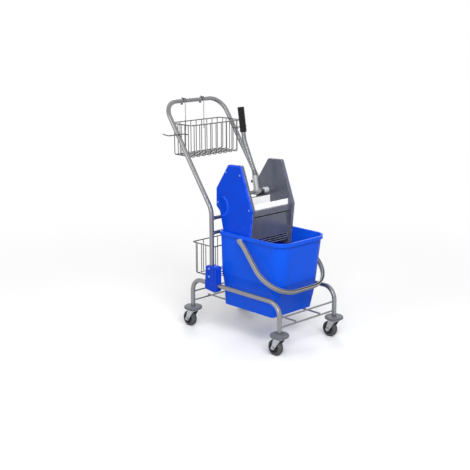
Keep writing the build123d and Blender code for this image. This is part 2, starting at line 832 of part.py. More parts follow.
# Wringer chamber: rear wall with two hooks over the upper crossbar
plate_corner_radius = math.hypot(press_plate_forward + press_plate_thickness, press_plate_drop)
sieve_radius = plate_corner_radius + sieve_clearance
sieve_outer_radius = sieve_radius + sieve_thickness
rear_wall_x = handle_leg_x + rear_wall_forward
rear_wall_front = rear_wall_x + rear_wall_thickness
rear_wall_bottom = press_height - sieve_outer_radius
rear_wall_high = upper_crossbar_height + rear_wall_top
hook_low = upper_crossbar_height + crossbar_radius + rest_gap
hook_inside_x = handle_leg_x - crossbar_radius - rest_gap
hook_outside_x = hook_inside_x - rear_wall_thickness
with BuildPart() as rear_wall:
    with BuildSketch(side_plane(0)):
        with Locations((rear_wall_x, rear_wall_bottom)):
            Rectangle(
                rear_wall_thickness, rear_wall_high - rear_wall_bottom, align=(Align.MIN, Align.MIN)
            )
    extrude(amount=chamber_half_width, both=True)
    for sign in sides.values():
        with BuildSketch(side_plane(sign * hook_y)):
            with Locations((hook_outside_x, hook_low)):
                Rectangle(
                    rear_wall_front - hook_outside_x,
                    rear_wall_thickness,
                    align=(Align.MIN, Align.MIN),
                )
                Rectangle(rear_wall_thickness, hook_drop, align=(Align.MIN, Align.MAX))
        extrude(amount=hook_width / 2, both=True)
rear_wall.part.label = "wringer_rear_wall"
export_step(rear_wall.part, "parts/wringer_rear_wall.step")


def around_press_shaft(radius, degrees):
    """Give the place at a radius from the press shaft, by its angle forward of straight below."""
    angle = math.radians(degrees)
    return (press_x + radius * math.sin(angle), press_height - radius * math.cos(angle))


# Wringer chamber: slotted floor, curved about the press shaft
with BuildPart() as sieve_floor:
    with BuildSketch(side_plane(0)):
        with BuildLine():
            CenterArc(
                (press_x, press_height), sieve_radius, -90 - 2 * sieve_rear_angle, sieve_sweep
            )
            CenterArc(
                (press_x, press_height), sieve_outer_radius, -90 - 2 * sieve_rear_angle, sieve_sweep
            )
            for end_angle in (-2 * sieve_rear_angle, sieve_front_angle):
                Line(
                    around_press_shaft(sieve_radius, end_angle),
                    around_press_shaft(sieve_outer_radius, end_angle),
                )
        make_face()
    extrude(amount=chamber_half_width, both=True)
    with Locations((rear_wall_front, 0, press_height)):
        Box(
            sieve_outer_radius,
            2 * cover_y,
            4 * sieve_outer_radius,
            align=(Align.MAX, Align.CENTER, Align.CENTER),
            mode=Mode.SUBTRACT,
        )
    for row in range(sieve_row_count):
        row_angle = sieve_front_angle * (row + 0.5) / sieve_row_count - sieve_rear_angle / 2
        slot_x, slot_height = around_press_shaft(sieve_radius, row_angle)
        row_plane = Plane(
            origin=(slot_x, 0, slot_height),
            x_dir=(0, 1, 0),
            z_dir=(math.sin(math.radians(row_angle)), 0, -math.cos(math.radians(row_angle))),
        )
        with BuildSketch(row_plane):
            with GridLocations(sieve_slot_length + sieve_slot_width, 1, sieve_slots_per_row, 1):
                SlotOverall(sieve_slot_length, sieve_slot_width)
        extrude(amount=2 * sieve_thickness, both=True, mode=Mode.SUBTRACT)
sieve_floor.part.label = "sieve_floor"
export_step(sieve_floor.part, "parts/sieve_floor.step")

# Wringer chamber: fixed white jaw behind the front panel, from the floor to above the lip
jaw_top = panel_high + jaw_rise
jaw_foot_x, jaw_foot_height = around_press_shaft(sieve_radius, sieve_front_angle)
jaw_face_x = panel_back - jaw_thickness
with BuildPart() as front_jaw:
    with BuildSketch(side_plane(0)):
        with BuildLine():
            Polyline(
                (jaw_foot_x, jaw_foot_height),
                (jaw_face_x, upper_crossbar_height),
                (jaw_face_x, jaw_top),
                (panel_back, jaw_top),
                (panel_back, upper_crossbar_height),
                (jaw_foot_x + jaw_thickness, jaw_foot_height),
                close=True,
            )
        make_face()
    extrude(amount=chamber_half_width, both=True)
front_jaw.part.label = "front_jaw"
export_step(front_jaw.part, "parts/front_jaw.step")

# Press plate: a slotted white plate on a hub, which swings forward about the press shaft
press_half_width = chamber_half_width - press_plate_play
press_back_x = press_x + press_plate_forward
with BuildPart() as press_plate:
    with Locations((press_back_x, 0, press_height - press_plate_drop)):
        Box(
            press_plate_thickness,
            2 * press_half_width,
            press_plate_drop + press_plate_top,
            align=(Align.MIN, Align.CENTER, Align.MIN),
        )
    with Locations(across(press_x, 0, press_height)):
        Cylinder(press_hub_diameter / 2, 2 * press_half_width)
        Cylinder(press_shaft_diameter / 2 + slip_fit, 2 * press_half_width, mode=Mode.SUBTRACT)
    slot_middle = (press_back_x, 0, press_height - press_plate_drop / 2 - press_slot_width)
    with BuildSketch(Plane(origin=slot_middle, x_dir=(0, 1, 0), z_dir=(1, 0, 0))):
        with GridLocations(
            press_slot_spacing, press_row_spacing, press_slot_columns, press_slot_rows
        ):
            SlotOverall(press_slot_length, press_slot_width)
    extrude(amount=press_plate_thickness, mode=Mode.SUBTRACT)
press_plate.part.label = "press_plate"
export_step(press_plate.part, "parts/press_plate.step")

# Shafts: each runs from inside one side panel to inside the other
shaft_half_length = cover_y - panel_wall - shaft_end_play
for name, shaft_x, shaft_height, shaft_diameter in (
    ("press_shaft", press_x, press_height, press_shaft_diameter),
    ("lever_axle", axle_x, axle_height, lever_axle_diameter),
):
    with BuildPart() as shaft:
        with Locations(across(shaft_x, 0, shaft_height)):
            Cylinder(shaft_diameter / 2, 2 * shaft_half_length)
    shaft.part.label = name
    export_step(shaft.part, f"parts/{name}.step")

# Flanged bushes that carry the lever's axle in the inner plates
with BuildPart() as axle_bushes:
    for sign in sides.values():
        flange_y = chamber_half_width - bush_flange_thickness / 2
        with Locations(across(axle_x, sign * flange_y, axle_height)):
            Cylinder(bush_flange_diameter / 2, bush_flange_thickness)
    flange_faces = axle_bushes.faces().filter_by(Axis.Y)
    inner_flange_faces = flange_faces.filter_by(lambda face: abs(face.center().Y) < chamber_half_width)
    fillet(inner_flange_faces.edges(), bush_flange_edge)
    for sign in sides.values():
        with Locations(across(axle_x, sign * (chamber_half_width + panel_wall / 2), axle_height)):
            Cylinder(bush_diameter / 2, panel_wall)
    with Locations(across(axle_x, 0, axle_height)):
        Cylinder(lever_axle_diameter / 2 + slip_fit, 2 * cover_y, mode=Mode.SUBTRACT)
axle_bushes.part.label = "axle_bushes"
export_step(axle_bushes.part, "parts/axle_bushes.step")


# Gears in the right-hand side panel: the lever turns the press shaft back at half its speed
def involute(angle):
    """Give the involute of an angle in radians."""
    return math.tan(angle) - angle


def gear_outline(centre_x, centre_height, teeth, tooth_direction):
    """Work out a spur gear's corners, flank by flank, with one tooth along tooth_direction."""
    pitch_radius = gear_module * teeth / 2
    base_radius = pitch_radius * math.cos(pressure_angle)
    tip_radius = pitch_radius + gear_module
    root_radius = pitch_radius - gear_root_depth * gear_module
    start_radius = max(base_radius, root_radius)
    radii = [root_radius]
    for step in range(flank_steps + 1):
        radii.append(start_radius + (tip_radius - start_radius) * step / flank_steps)
    half_tooth = math.pi / (2 * teeth) - gear_backlash / (4 * pitch_radius)
    corners = []
    for tooth in range(teeth):
        middle = tooth_direction + 2 * math.pi * tooth / teeth
        flank = []
        for radius in radii:
            slope = math.acos(min(1, base_radius / radius))
            flank.append((radius, half_tooth + involute(pressure_angle) - involute(slope)))
        turns = [(radius, middle - half) for radius, half in flank]
        turns += [(radius, middle + half) for radius, half in reversed(flank)]
        for radius, turn in turns:
            corners.append((centre_x + radius * math.cos(turn), centre_height + radius * math.sin(turn)))
    return corners


towards_press = gear_angle - math.pi / 2
towards_axle = towards_press + math.pi
gear_y = -(chamber_half_width + cover_y) / 2
for name, gear_x, gear_height, teeth, tooth_direction, bore in (
    ("drive_gear", axle_x, axle_height, drive_teeth, towards_press, lever_axle_diameter),
    (
        "press_gear",
        press_x,
        press_height,
        press_teeth,
        towards_axle + math.pi / press_teeth,
        press_shaft_diameter,
    ),
):
    with BuildPart() as gear:
        with BuildSketch(side_plane(gear_y)):
            with BuildLine():
                Polyline(gear_outline(gear_x, gear_height, teeth, tooth_direction), close=True)
            make_face()
            with Locations((gear_x, gear_height)):
                Circle(bore / 2 + slip_fit, mode=Mode.SUBTRACT)
        extrude(amount=gear_width / 2, both=True)
    gear.part.label = name
    export_step(gear.part, f"parts/{name}.step")

# Lever: a socket on the axle, a bent tube held in it by a set screw, and a ribbed grip
lean = math.atan2(-lever_low_bend[0], lever_low_bend[1])
lever_up = (-math.sin(lean), 0, math.cos(lean))
lever_back = (-math.cos(lean), 0, -math.sin(lean))


def on_lever(offset_x, offset_height):
    """Give a place in the lever's plane, measured from its axle."""
    return (axle_x + offset_x, lever_y, axle_height + offset_height)


def up_lever(distance):
    """Give a place up the lever's straight foot."""
    return on_lever(distance * lever_up[0], distance * lever_up[2])


with BuildPart() as lever_socket:
    with Locations(across(axle_x, lever_y, axle_height)):
        Cylinder(socket_hub_diameter / 2, socket_hub_width)
    with Locations(Plane(origin=up_lever(0), z_dir=lever_up)):
        Cylinder(socket_diameter / 2, socket_length, align=standing)
    with Locations(Plane(origin=up_lever(lever_tube_start), z_dir=lever_up)):
        Cylinder(
            lever_tube_diameter / 2 + slip_fit, socket_length, align=standing, mode=Mode.SUBTRACT
        )
    with Locations(across(axle_x, lever_y, axle_height)):
        Cylinder(lever_axle_diameter / 2 + slip_fit, 2 * socket_hub_width, mode=Mode.SUBTRACT)
    with Locations(Plane(origin=up_lever(set_screw_along), z_dir=lever_back)):
        Cylinder(
            set_screw_diameter / 2 + slip_fit, socket_diameter, align=standing, mode=Mode.SUBTRACT
        )
lever_socket.part.label = "lever_socket"
export_step(lever_socket.part, "parts/lever_socket.step")

screw_plane = Plane(origin=up_lever(set_screw_along), z_dir=lever_back)
screw_tip = lever_tube_diameter / 2 + weld_gap
with BuildPart() as set_screw:
    with Locations(screw_plane.offset(screw_tip)):
        Cylinder(set_screw_diameter / 2, socket_diameter / 2 - screw_tip, align=standing)
    with Locations(screw_plane.offset(socket_diameter / 2)):
        Cylinder(set_screw_head / 2, set_screw_head_length, align=standing)
set_screw.part.label = "lever_set_screw"
export_step(set_screw.part, "parts/lever_set_screw.step")

lever_tube = bent_tube(
    [
        up_lever(lever_tube_start),
        on_lever(*lever_low_bend),
        on_lever(*lever_high_bend),
        on_lever(*lever_end),
    ],
    lever_bend,
    lever_tube_diameter,
    tube_wall,
)
lever_tube.label = "lever_tube"
export_step(lever_tube, "parts/lever_tube.step")

grip_lean = math.atan2(lever_high_bend[0] - lever_end[0], lever_end[1] - lever_high_bend[1])
grip_up = (-math.sin(grip_lean), 0, math.cos(grip_lean))
grip_side = (math.cos(grip_lean), 0, math.sin(grip_lean))
grip_bore = lever_tube_diameter / 2 + slip_fit
grip_radius = grip_diameter / 2
grip_pitch = grip_length / grip_rib_count
grip_outline = [(grip_bore, 0)]
for rib in range(grip_rib_count):
    grip_outline.append((grip_radius - grip_rib_depth, rib * grip_pitch))
    grip_outline.append((grip_radius, (rib + grip_rib_slope) * grip_pitch))
    grip_outline.append((grip_radius, (rib + 1 - grip_rib_slope) * grip_pitch))
grip_outline.append((grip_radius - grip_rib_depth, grip_length))
grip_outline.append((0, grip_length))
grip_outline.append((0, grip_length - grip_end))
grip_outline.append((grip_bore, grip_length - grip_end))
grip_from_end = grip_end + weld_gap - grip_length
grip_foot = on_lever(
    lever_end[0] + grip_from_end * grip_up[0], lever_end[1] + grip_from_end * grip_up[2]
)
with BuildPart() as lever_grip:
    with BuildSketch(Plane(origin=grip_foot, x_dir=grip_side, z_dir=(0, -1, 0))):
        with BuildLine():
            Polyline(grip_outline, close=True)
        make_face()
    revolve(axis=Axis(grip_foot, grip_up))
lever_grip.part.label = "lever_grip"
export_step(lever_grip.part, "parts/lever_grip.step")

# Screws that join each cover to its inner plate
with BuildPart() as cover_screws:
    for sign in sides.values():
        for screw_x, screw_height in cover_screw_points:
            screw_length = cover_y - seam_y + screw_grip
            with Locations(across(screw_x, sign * (cover_y - screw_length / 2), screw_height)):
                Cylinder(cover_screw_diameter / 2, screw_length)
            with Locations(across(screw_x, sign * (cover_y + cover_screw_rise / 2), screw_height)):
                Cylinder(cover_screw_head / 2, cover_screw_rise)
cover_screws.part.label = "cover_screws"
export_step(cover_screws.part, "parts/cover_screws.step")


# Wire baskets: a rim ring, with crosswise and lengthwise wires welded inside it
def basket_wires(rear, front, half_width, rim, floor, cross_places, side_places):
    """Bend the wires of one basket, the lengthwise ones crossing over the others at the floor."""
    inside = (rim_wire + basket_wire) / 2 + weld_gap
    wire_top = rim + wire_end_rise
    over = basket_wire + weld_gap
    wires = []
    for y in cross_places:
        turns = [(rear + inside, wire_top), (rear + inside, floor), (front - inside, floor)]
        turns.append((front - inside, wire_top))
        wires.append(bent_tube([(x, y, z) for x, z in turns], wire_bend, basket_wire))
    for x in side_places:
        side = half_width - inside
        turns = [(-side, wire_top), (-side, floor + over), (side, floor + over), (side, wire_top)]
        wires.append(bent_tube([(x, y, z) for y, z in turns], wire_bend, basket_wire))
    return wires


# Upper basket, which hangs on the push bar and leans on the front of the handle's legs
hanger_reach = tube_radius + rest_gap + hook_wire / 2
rim_beside_hook = (hook_wire + rim_wire) / 2 + weld_gap
upper_rear = handle_bar_x + hanger_reach + rim_beside_hook
upper_front = upper_rear + upper_basket_depth
upper_middle = (upper_rear + upper_front) / 2
upper_rim_ring = wire_ring(
    upper_rear, upper_front, upper_basket_half_width, upper_basket_rim, upper_rim_corner, rim_wire
)
upper_rim_ring.label = "upper_basket_rim"
export_step(upper_rim_ring, "parts/upper_basket_rim.step")

upper_wire_list = basket_wires(
    upper_rear,
    upper_front,
    upper_basket_half_width,
    upper_basket_rim,
    upper_basket_floor,
    spread(upper_cross_wires, upper_cross_spacing),
    [upper_middle + x for x in spread(upper_side_wires, upper_side_spacing)],
)
with BuildPart() as upper_basket_wires:
    add(upper_wire_list)
upper_basket_wires.part.label = "upper_basket_wires"
export_step(upper_basket_wires.part, "parts/upper_basket_wires.step")

hanger_list = [
    hook_wire_over(
        handle_bar_x,
        handle_bar_height,
        tube_radius,
        upper_basket_rim - upper_hanger_tail,
        hook_tip,
        sign * upper_hanger_y,
        1,
    )
    for sign in sides.values()
]
with BuildPart() as upper_basket_hangers:
    add(hanger_list)
upper_basket_hangers.part.label = "upper_basket_hangers"
export_step(upper_basket_hangers.part, "parts/upper_basket_hangers.step")

handle_slope = math.atan2(handle_leg_x - handle_bar_x, handle_bar_height - handle_bend_height)
leg_x_at_arm = handle_leg_x - (arm_height - handle_bend_height) * math.tan(handle_slope)
arm_x = leg_x_at_arm + (tube_radius + rest_gap + rim_wire / 2) / math.cos(handle_slope)
arm_list = [
    bent_tube(
        [
            (arm_x + arm_weld, sign * upper_basket_half_width, arm_height),
            (arm_x, sign * upper_basket_half_width, arm_height),
            (arm_x, sign * arm_half_width, arm_height),
            (arm_x - arm_tail, sign * arm_half_width, arm_height + arm_tip_rise),
        ],
        arm_bend,
        rim_wire,
    )
    for sign in sides.values()
]
with BuildPart() as upper_basket_arms:
    add(arm_list)
upper_basket_arms.part.label = "upper_basket_arms"
export_step(upper_basket_arms.part, "parts/upper_basket_arms.step")

# Lower basket, which hangs on the lower crossbar behind the bucket
lower_front = handle_leg_x - crossbar_radius - rest_gap - hook_wire / 2 - rim_beside_hook
lower_rear = lower_front - lower_basket_depth
lower_middle = (lower_rear + lower_front) / 2
lower_rim_ring = wire_ring(
    lower_rear, lower_front, lower_basket_half_width, lower_basket_rim, lower_rim_corner, rim_wire
)
lower_rim_ring.label = "lower_basket_rim"
export_step(lower_rim_ring, "parts/lower_basket_rim.step")

lower_wire_list = basket_wires(
    lower_rear,
    lower_front,
    lower_basket_half_width,
    lower_basket_rim,
    lower_basket_floor,
    spread(lower_cross_wires, lower_cross_spacing),
    [lower_middle + x for x in spread(lower_side_wires, lower_side_spacing)],
)
with BuildPart() as lower_basket_wires:
    add(lower_wire_list)
lower_basket_wires.part.label = "lower_basket_wires"
export_step(lower_basket_wires.part, "parts/lower_basket_wires.step")

lower_hook_list = [
    hook_wire_over(
        handle_leg_x,
        lower_crossbar_height,
        crossbar_radius,
        lower_basket_rim - lower_hook_tail,
        lower_hook_tip,
        sign * lower_hook_y,
        -1,
    )
    for sign in sides.values()
]
with BuildPart() as lower_basket_hooks:
    add(lower_hook_list)
lower_basket_hooks.part.label = "lower_basket_hooks"
export_step(lower_basket_hooks.part, "parts/lower_basket_hooks.step")
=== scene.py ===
import math

import bmesh
import bpy
from mathutils import Matrix, Vector


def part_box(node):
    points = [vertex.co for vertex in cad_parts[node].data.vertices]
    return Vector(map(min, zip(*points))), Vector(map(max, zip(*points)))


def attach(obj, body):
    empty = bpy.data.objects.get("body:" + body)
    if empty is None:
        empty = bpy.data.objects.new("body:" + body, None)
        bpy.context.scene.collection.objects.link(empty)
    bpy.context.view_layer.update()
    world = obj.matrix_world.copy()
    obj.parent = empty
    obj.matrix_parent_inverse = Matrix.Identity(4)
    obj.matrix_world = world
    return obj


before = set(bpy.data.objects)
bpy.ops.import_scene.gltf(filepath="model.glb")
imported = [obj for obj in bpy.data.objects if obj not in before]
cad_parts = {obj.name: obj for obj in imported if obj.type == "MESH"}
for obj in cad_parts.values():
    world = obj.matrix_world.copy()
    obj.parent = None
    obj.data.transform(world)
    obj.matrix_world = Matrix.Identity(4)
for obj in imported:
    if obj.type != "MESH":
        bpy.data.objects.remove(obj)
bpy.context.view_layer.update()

bl_info = {
    "name": "Mop-bucket trolley",
    "version": (1, 0, 0),
    "blender": (4, 5, 0),
    "location": "View3D > Sidebar > Trolley",
    "description": "Finishes, welds and fasteners for a mop-bucket trolley, with its studio",
    "category": "Object",
}

# Names of the frame's nodes, and the parts that such names share
CASTERS = ("front_left", "front_right", "rear_left", "rear_right")
SIDES = ("left", "right")
TUBES = ("left_side_rail", "right_side_rail", "push_handle", "upper_crossbar", "lower_crossbar")
RODS = ("cross_rods", "deck_wires")
BASKETS = ("upper_basket", "lower_basket")

# Vertices of the frame's meshes closer than this are the same place
SAME_PLACE = 1e-6
# How nearly a face's normal has to lie along an axis to count as facing it
FACING = 0.999


def colour(name, description, default):
    """Make a colour property in scene-linear values."""
    return bpy.props.FloatVectorProperty(
        name=name, description=description, subtype="COLOR", size=3, min=0, max=1, default=default
    )


def length(name, description, default):
    """Make a length property in metres."""
    return bpy.props.FloatProperty(
        name=name,
        description=description,
        subtype="DISTANCE",
        unit="LENGTH",
        min=0,
        default=default,
    )


def share(name, description, default):
    """Make a property that runs from 0 to 1."""
    return bpy.props.FloatProperty(
        name=name, description=description, subtype="FACTOR", min=0, max=1, default=default
    )


def angle(name, description, degrees):
    """Make an angle property from degrees."""
    return bpy.props.FloatProperty(
        name=name, description=description, subtype="ANGLE", default=math.radians(degrees)
    )


class TrolleyColours(bpy.types.PropertyGroup):
    """Colours of the trolley's materials."""

    bucket: colour("Bucket", "Moulded bucket", (0.004, 0.094, 0.78))
    cover: colour("Wringer covers", "Outer shells of the wringer", (0.001, 0.058, 0.64))
    clamp: colour("Clamps", "Moulded clamps on the side rails", (0.003, 0.052, 0.56))
    chamber: colour("Wringer chamber", "Inner plates and front panel", (0.088, 0.096, 0.132))
    jaws: colour("Jaws", "Press plate and fixed jaw", (0.94, 0.945, 0.96))
    bush: colour("Bushes", "Flanged bushes on the lever's axle", (0.60, 0.61, 0.64))
    nylon: colour("Gears", "Natural nylon of the two gears", (0.66, 0.63, 0.54))
    tube: colour("Tubes", "Silver coat of the frame's tubes", (0.265, 0.265, 0.278))
    wire: colour("Wire", "Plated basket wire and hanger sleeves", (0.15, 0.15, 0.155))
    zinc: colour("Zinc", "Plated forks and fasteners", (0.46, 0.47, 0.49))
    screw: colour("Screws", "Blue-plated screws in the covers and clamps", (0.16, 0.30, 0.80))
    cast: colour("Socket", "Bright cast socket of the lever", (0.54, 0.55, 0.57))
    shaft: colour("Shafts", "Drawn bar and lever tube", (0.22, 0.225, 0.24))
    bumper: colour("Bumpers", "Moulded caster bumpers", (0.130, 0.136, 0.155))
    tyre: colour("Tyres", "Grey rubber tread", (0.075, 0.076, 0.080))
    hub: colour("Hubs", "Black wheel hubs", (0.012, 0.012, 0.013))
    bail: colour("Bail", "Grey bail handle", (0.30, 0.295, 0.285))
    # The grip colour also paints the bail's groove strips (painted shade) and the front slot's
    # strip (painted shadow)
    grip: colour("Grip", "Black grip, clip, seal and inlays", (0.006, 0.006, 0.007))


class TrolleyDetails(bpy.types.PropertyGroup):
    """Sizes of the small pieces that the frame leaves out."""

    rod_bead: length("Rod weld", "Radius of the weld beads round the rods", 0.0017)
    bar_bead: length("Crossbar weld", "Radius of the weld beads round the crossbars", 0.0022)
    wire_bead: length("Wire weld", "Radius of the weld spots on the basket wires", 0.0024)
    clamp_head: length("Clamp screw head", "Height of the heads on the clamps' screws", 0.0022)
    cover_head: length("Cover screw head", "Height of the heads on the covers' screws", 0.0018)
    recess_depth: length("Screw recess", "Depth of the cross recess in a screw", 0.0011)
    nut_height: length("Nut", "Height of an axle nut", 0.0052)
    sleeve_width: length("Hanger sleeve", "Width of the sleeves over the push bar", 0.011)
    sleeve_wall: length("Sleeve wall", "Thickness of the sleeves over the push bar", 0.0042)
    sleeve_tail: length("Sleeve tail", "How far the sleeves reach down behind the push bar", 0.018)
    sleeve_gap: length("Sleeve gap", "Room between the push bar and its sleeves", 0.0002)
    sleeve_start: angle("Sleeve start", "Where a sleeve starts, from level at the front", -17.1887)
    # The dark strips in the bail's grooves are painted shade: black where the grooves only lie in
    # shade
    inlay: length("Bail inlay", "Thickness of the dark strips in the bail's grooves", 0.0008)
    ring_radius: length("Cover ring", "Radius of the raised ring on each wringer cover", 0.042)
    ring_width: length("Ring width", "Width of the raised ring", 0.009)
    ring_height: length("Ring height", "How far the ring stands off the cover", 0.003)
    ring_rise: length("Ring rise", "Height of the ring's middle above the press shaft", 0.012)
    ring_start: angle("Ring start", "Where the ring starts, from level at the front", -84)
    ring_end: angle("Ring end", "Where the ring ends, from level at the front", 76)
    clip_wall: length("Axle clip", "Thickness of the black clip under the lever's axle", 0.008)
    clip_width: length("Clip width", "Length of the clip along the axle", 0.030)
    clip_overlap: length("Clip overlap", "How far the clip reaches under the socket", 0.009)
    clip_gap: length("Clip gap", "Room between the lever's axle and the clip", 0.0001)
    clip_start: angle("Clip start", "Where the clip starts, from level at the front", -155)
    clip_end: angle("Clip end", "Where the clip ends, from level at the front", -25)
    # The strip under the front lip is a painted shadow: a black strip that darkens the shaded slot
    # there
    shadow_strip_depth: length("Front seal", "How far the seal under the front lip stands out", 0.0022)


class TrolleyStudio(bpy.types.PropertyGroup):
    """Camera and light of the studio."""

    azimuth: angle("Azimuth", "Camera's turn round the trolley from its right side", 45.6)
    elevation: angle("Elevation", "Camera's angle above the floor", 13.1)
    distance: length("Distance", "From the camera to the trolley's middle", 4.1588)
    aim_height: length("Aim height", "Height of the point that the camera faces", 0.45)
    lens: bpy.props.FloatProperty(
        name="Lens", description="Focal length", subtype="DISTANCE_CAMERA", default=76.95
    )
    shift_x: bpy.props.FloatProperty(
        name="Shift X", description="Sideways shift of the view", default=-0.0323
    )
    shift_y: bpy.props.FloatProperty(
        name="Shift Y", description="Upward shift of the view", default=-0.0238
    )
    floor: colour("Floor", "Plain pale floor, as it is seen", (0.90, 0.90, 0.90))
    bounce: colour("Floor bounce", "What the floor sends back up as light", (0.30, 0.30, 0.31))
    fade_start: length("Fade start", "Where the floor starts to fade into the background", 0.7)
    fade_end: length("Fade end", "Where the floor has become the background", 2.4)
    sky: share("Sky light", "Strength of the light from all round", 0.52)


# Node groups: effects that several materials share


def start_group(name, inputs, outputs):
    """Make a shader node group with value inputs and outputs, and give its two ends."""
    group = bpy.data.node_groups.new(name, "ShaderNodeTree")
    for label, default in inputs.items():
        socket = group.interface.new_socket(
            name=label, in_out="INPUT", socket_type="NodeSocketFloat"
        )
        socket.default_value = default
    for label in outputs:
        group.interface.new_socket(name=label, in_out="OUTPUT", socket_type="NodeSocketFloat")
    return group, group.nodes.new("NodeGroupInput"), group.nodes.new("NodeGroupOutput")


def add_math(tree, operation, first, second):
    """Add a math node; each term is a socket or a number."""
    node = tree.nodes.new("ShaderNodeMath")
    node.operation = operation
    for socket, term in zip(node.inputs, (first, second)):
        if isinstance(term, (int, float)):
            socket.default_value = term
        else:
            tree.links.new(term, socket)
    return node.outputs["Value"]


def add_range(tree, value, low, high, to_low=0.0, to_high=1.0):
    """Add a clamped map range node."""
    node = tree.nodes.new("ShaderNodeMapRange")
    node.interpolation_type = "SMOOTHSTEP"
    for label, term in (
        ("Value", value),
        ("From Min", low),
        ("From Max", high),
        ("To Min", to_low),
        ("To Max", to_high),
    ):
        if isinstance(term, (int, float)):
            node.inputs[label].default_value = term
        else:
            tree.links.new(term, node.inputs[label])
    return node.outputs["Result"]


def add_noise(tree, vector, scale, detail=2.0, roughness=0.5):
    """Add a noise texture on a vector; scale is a socket or a number."""
    node = tree.nodes.new("ShaderNodeTexNoise")
    node.inputs["Detail"].default_value = detail
    node.inputs["Roughness"].default_value = roughness
    tree.links.new(vector, node.inputs["Vector"])
    if isinstance(scale, (int, float)):
        node.inputs["Scale"].default_value = scale
    else:
        tree.links.new(scale, node.inputs["Scale"])
    return node.outputs["Fac"]


def piece_position(tree):
    """Give the place on the piece, which moves along with it."""
    return tree.nodes.new("ShaderNodeTexCoord").outputs["Object"]


def grain_group():
    """Fine grain of a mould's skin, with slow clouds of shade."""
    cloud_range = (0.32, 0.68)
    group, ends, out = start_group(
        "Moulded grain", {"Grain scale": 900.0, "Cloud scale": 9.0}, ("Height", "Cloud")
    )
    place = piece_position(group)
    fine = add_noise(group, place, ends.outputs["Grain scale"], detail=2.0, roughness=0.6)
    clouds = add_noise(group, place, ends.outputs["Cloud scale"], detail=3.0, roughness=0.55)
    group.links.new(fine, out.inputs["Height"])
    group.links.new(add_range(group, clouds, *cloud_range), out.inputs["Cloud"])
    return group


def scuff_group():
    """Fine rubbed lines that cross each other in patches."""
    line_turns = ((0.3, 0.5, 0.2), (1.1, 0.2, 2.0))
    line_stretch = (1.0, 0.045, 0.5)
    line_range = (0.60, 0.72)
    patch_scale = 7.0
    patch_start = 0.78
    patch_end = 0.8
    cover_effect = 0.4
    group, ends, out = start_group("Scuffs", {"Scale": 60.0, "Cover": 0.4}, ("Mask",))
    place = piece_position(group)
    lines = []
    for angles in line_turns:
        turn = group.nodes.new("ShaderNodeVectorRotate")
        turn.rotation_type = "EULER_XYZ"
        turn.inputs["Rotation"].default_value = angles
        group.links.new(place, turn.inputs["Vector"])
        stretch = group.nodes.new("ShaderNodeVectorMath")
        stretch.operation = "MULTIPLY"
        stretch.inputs[1].default_value = line_stretch
        group.links.new(turn.outputs["Vector"], stretch.inputs[0])
        stretched = stretch.outputs["Vector"]
        line = add_noise(group, stretched, ends.outputs["Scale"], detail=6.0, roughness=0.65)
        lines.append(add_range(group, line, *line_range))
    both = add_math(group, "MAXIMUM", *lines)
    patch = add_noise(group, place, patch_scale, detail=3.0)
    covered = add_math(group, "MULTIPLY", ends.outputs["Cover"], cover_effect)
    low = add_math(group, "SUBTRACT", patch_start, covered)
    patches = add_range(group, patch, low, patch_end)
    group.links.new(add_math(group, "MULTIPLY", both, patches), out.inputs["Mask"])
    return group


def edge_group():
    """Mask of the outer edges, found from how far a softened normal leaves the true one; it paints
    rubbed wear, and on some finishes a painted highlight.
    """
    patch_scale = 55.0
    patch_range = (0.35, 0.7)
    group, ends, out = start_group("Rubbed edges", {"Reach": 0.002, "Gain": 5.0}, ("Mask",))
    soft = group.nodes.new("ShaderNodeBevel")
    soft.samples = 4
    group.links.new(ends.outputs["Reach"], soft.inputs["Radius"])
    true = group.nodes.new("ShaderNodeNewGeometry")
    dot = group.nodes.new("ShaderNodeVectorMath")
    dot.operation = "DOT_PRODUCT"
    group.links.new(soft.outputs["Normal"], dot.inputs[0])
    group.links.new(true.outputs["Normal"], dot.inputs[1])
    bend = add_math(group, "SUBTRACT", 1.0, dot.outputs["Value"])
    raised = add_math(group, "MULTIPLY", bend, ends.outputs["Gain"])
    patch = add_noise(group, piece_position(group), patch_scale, detail=4.0, roughness=0.6)
    worn = add_math(group, "MULTIPLY", raised, add_range(group, patch, *patch_range))
    group.links.new(add_range(group, worn, 0.0, 1.0), out.inputs["Mask"])
    return group


def flake_group():
    """Metal flakes in a coat, with slow changes of gloss."""
    gloss_scale = 14.0
    gloss_range = (0.3, 0.7)
    peel_scale = 240.0
    group, ends, out = start_group(
        "Metal flake", {"Flake scale": 1400.0}, ("Flake", "Gloss", "Height")
    )
    place = piece_position(group)
    cells = group.nodes.new("ShaderNodeTexVoronoi")
    group.links.new(place, cells.inputs["Vector"])
    group.links.new(ends.outputs["Flake scale"], cells.inputs["Scale"])
    grey = group.nodes.new("ShaderNodeRGBToBW")
    group.links.new(cells.outputs["Color"], grey.inputs["Color"])
    group.links.new(grey.outputs["Val"], out.inputs["Flake"])
    gloss = add_noise(group, place, gloss_scale, detail=4.0, roughness=0.6)
    group.links.new(add_range(group, gloss, *gloss_range), out.inputs["Gloss"])
    group.links.new(add_noise(group, place, peel_scale, detail=2.0), out.inputs["Height"])
    return group


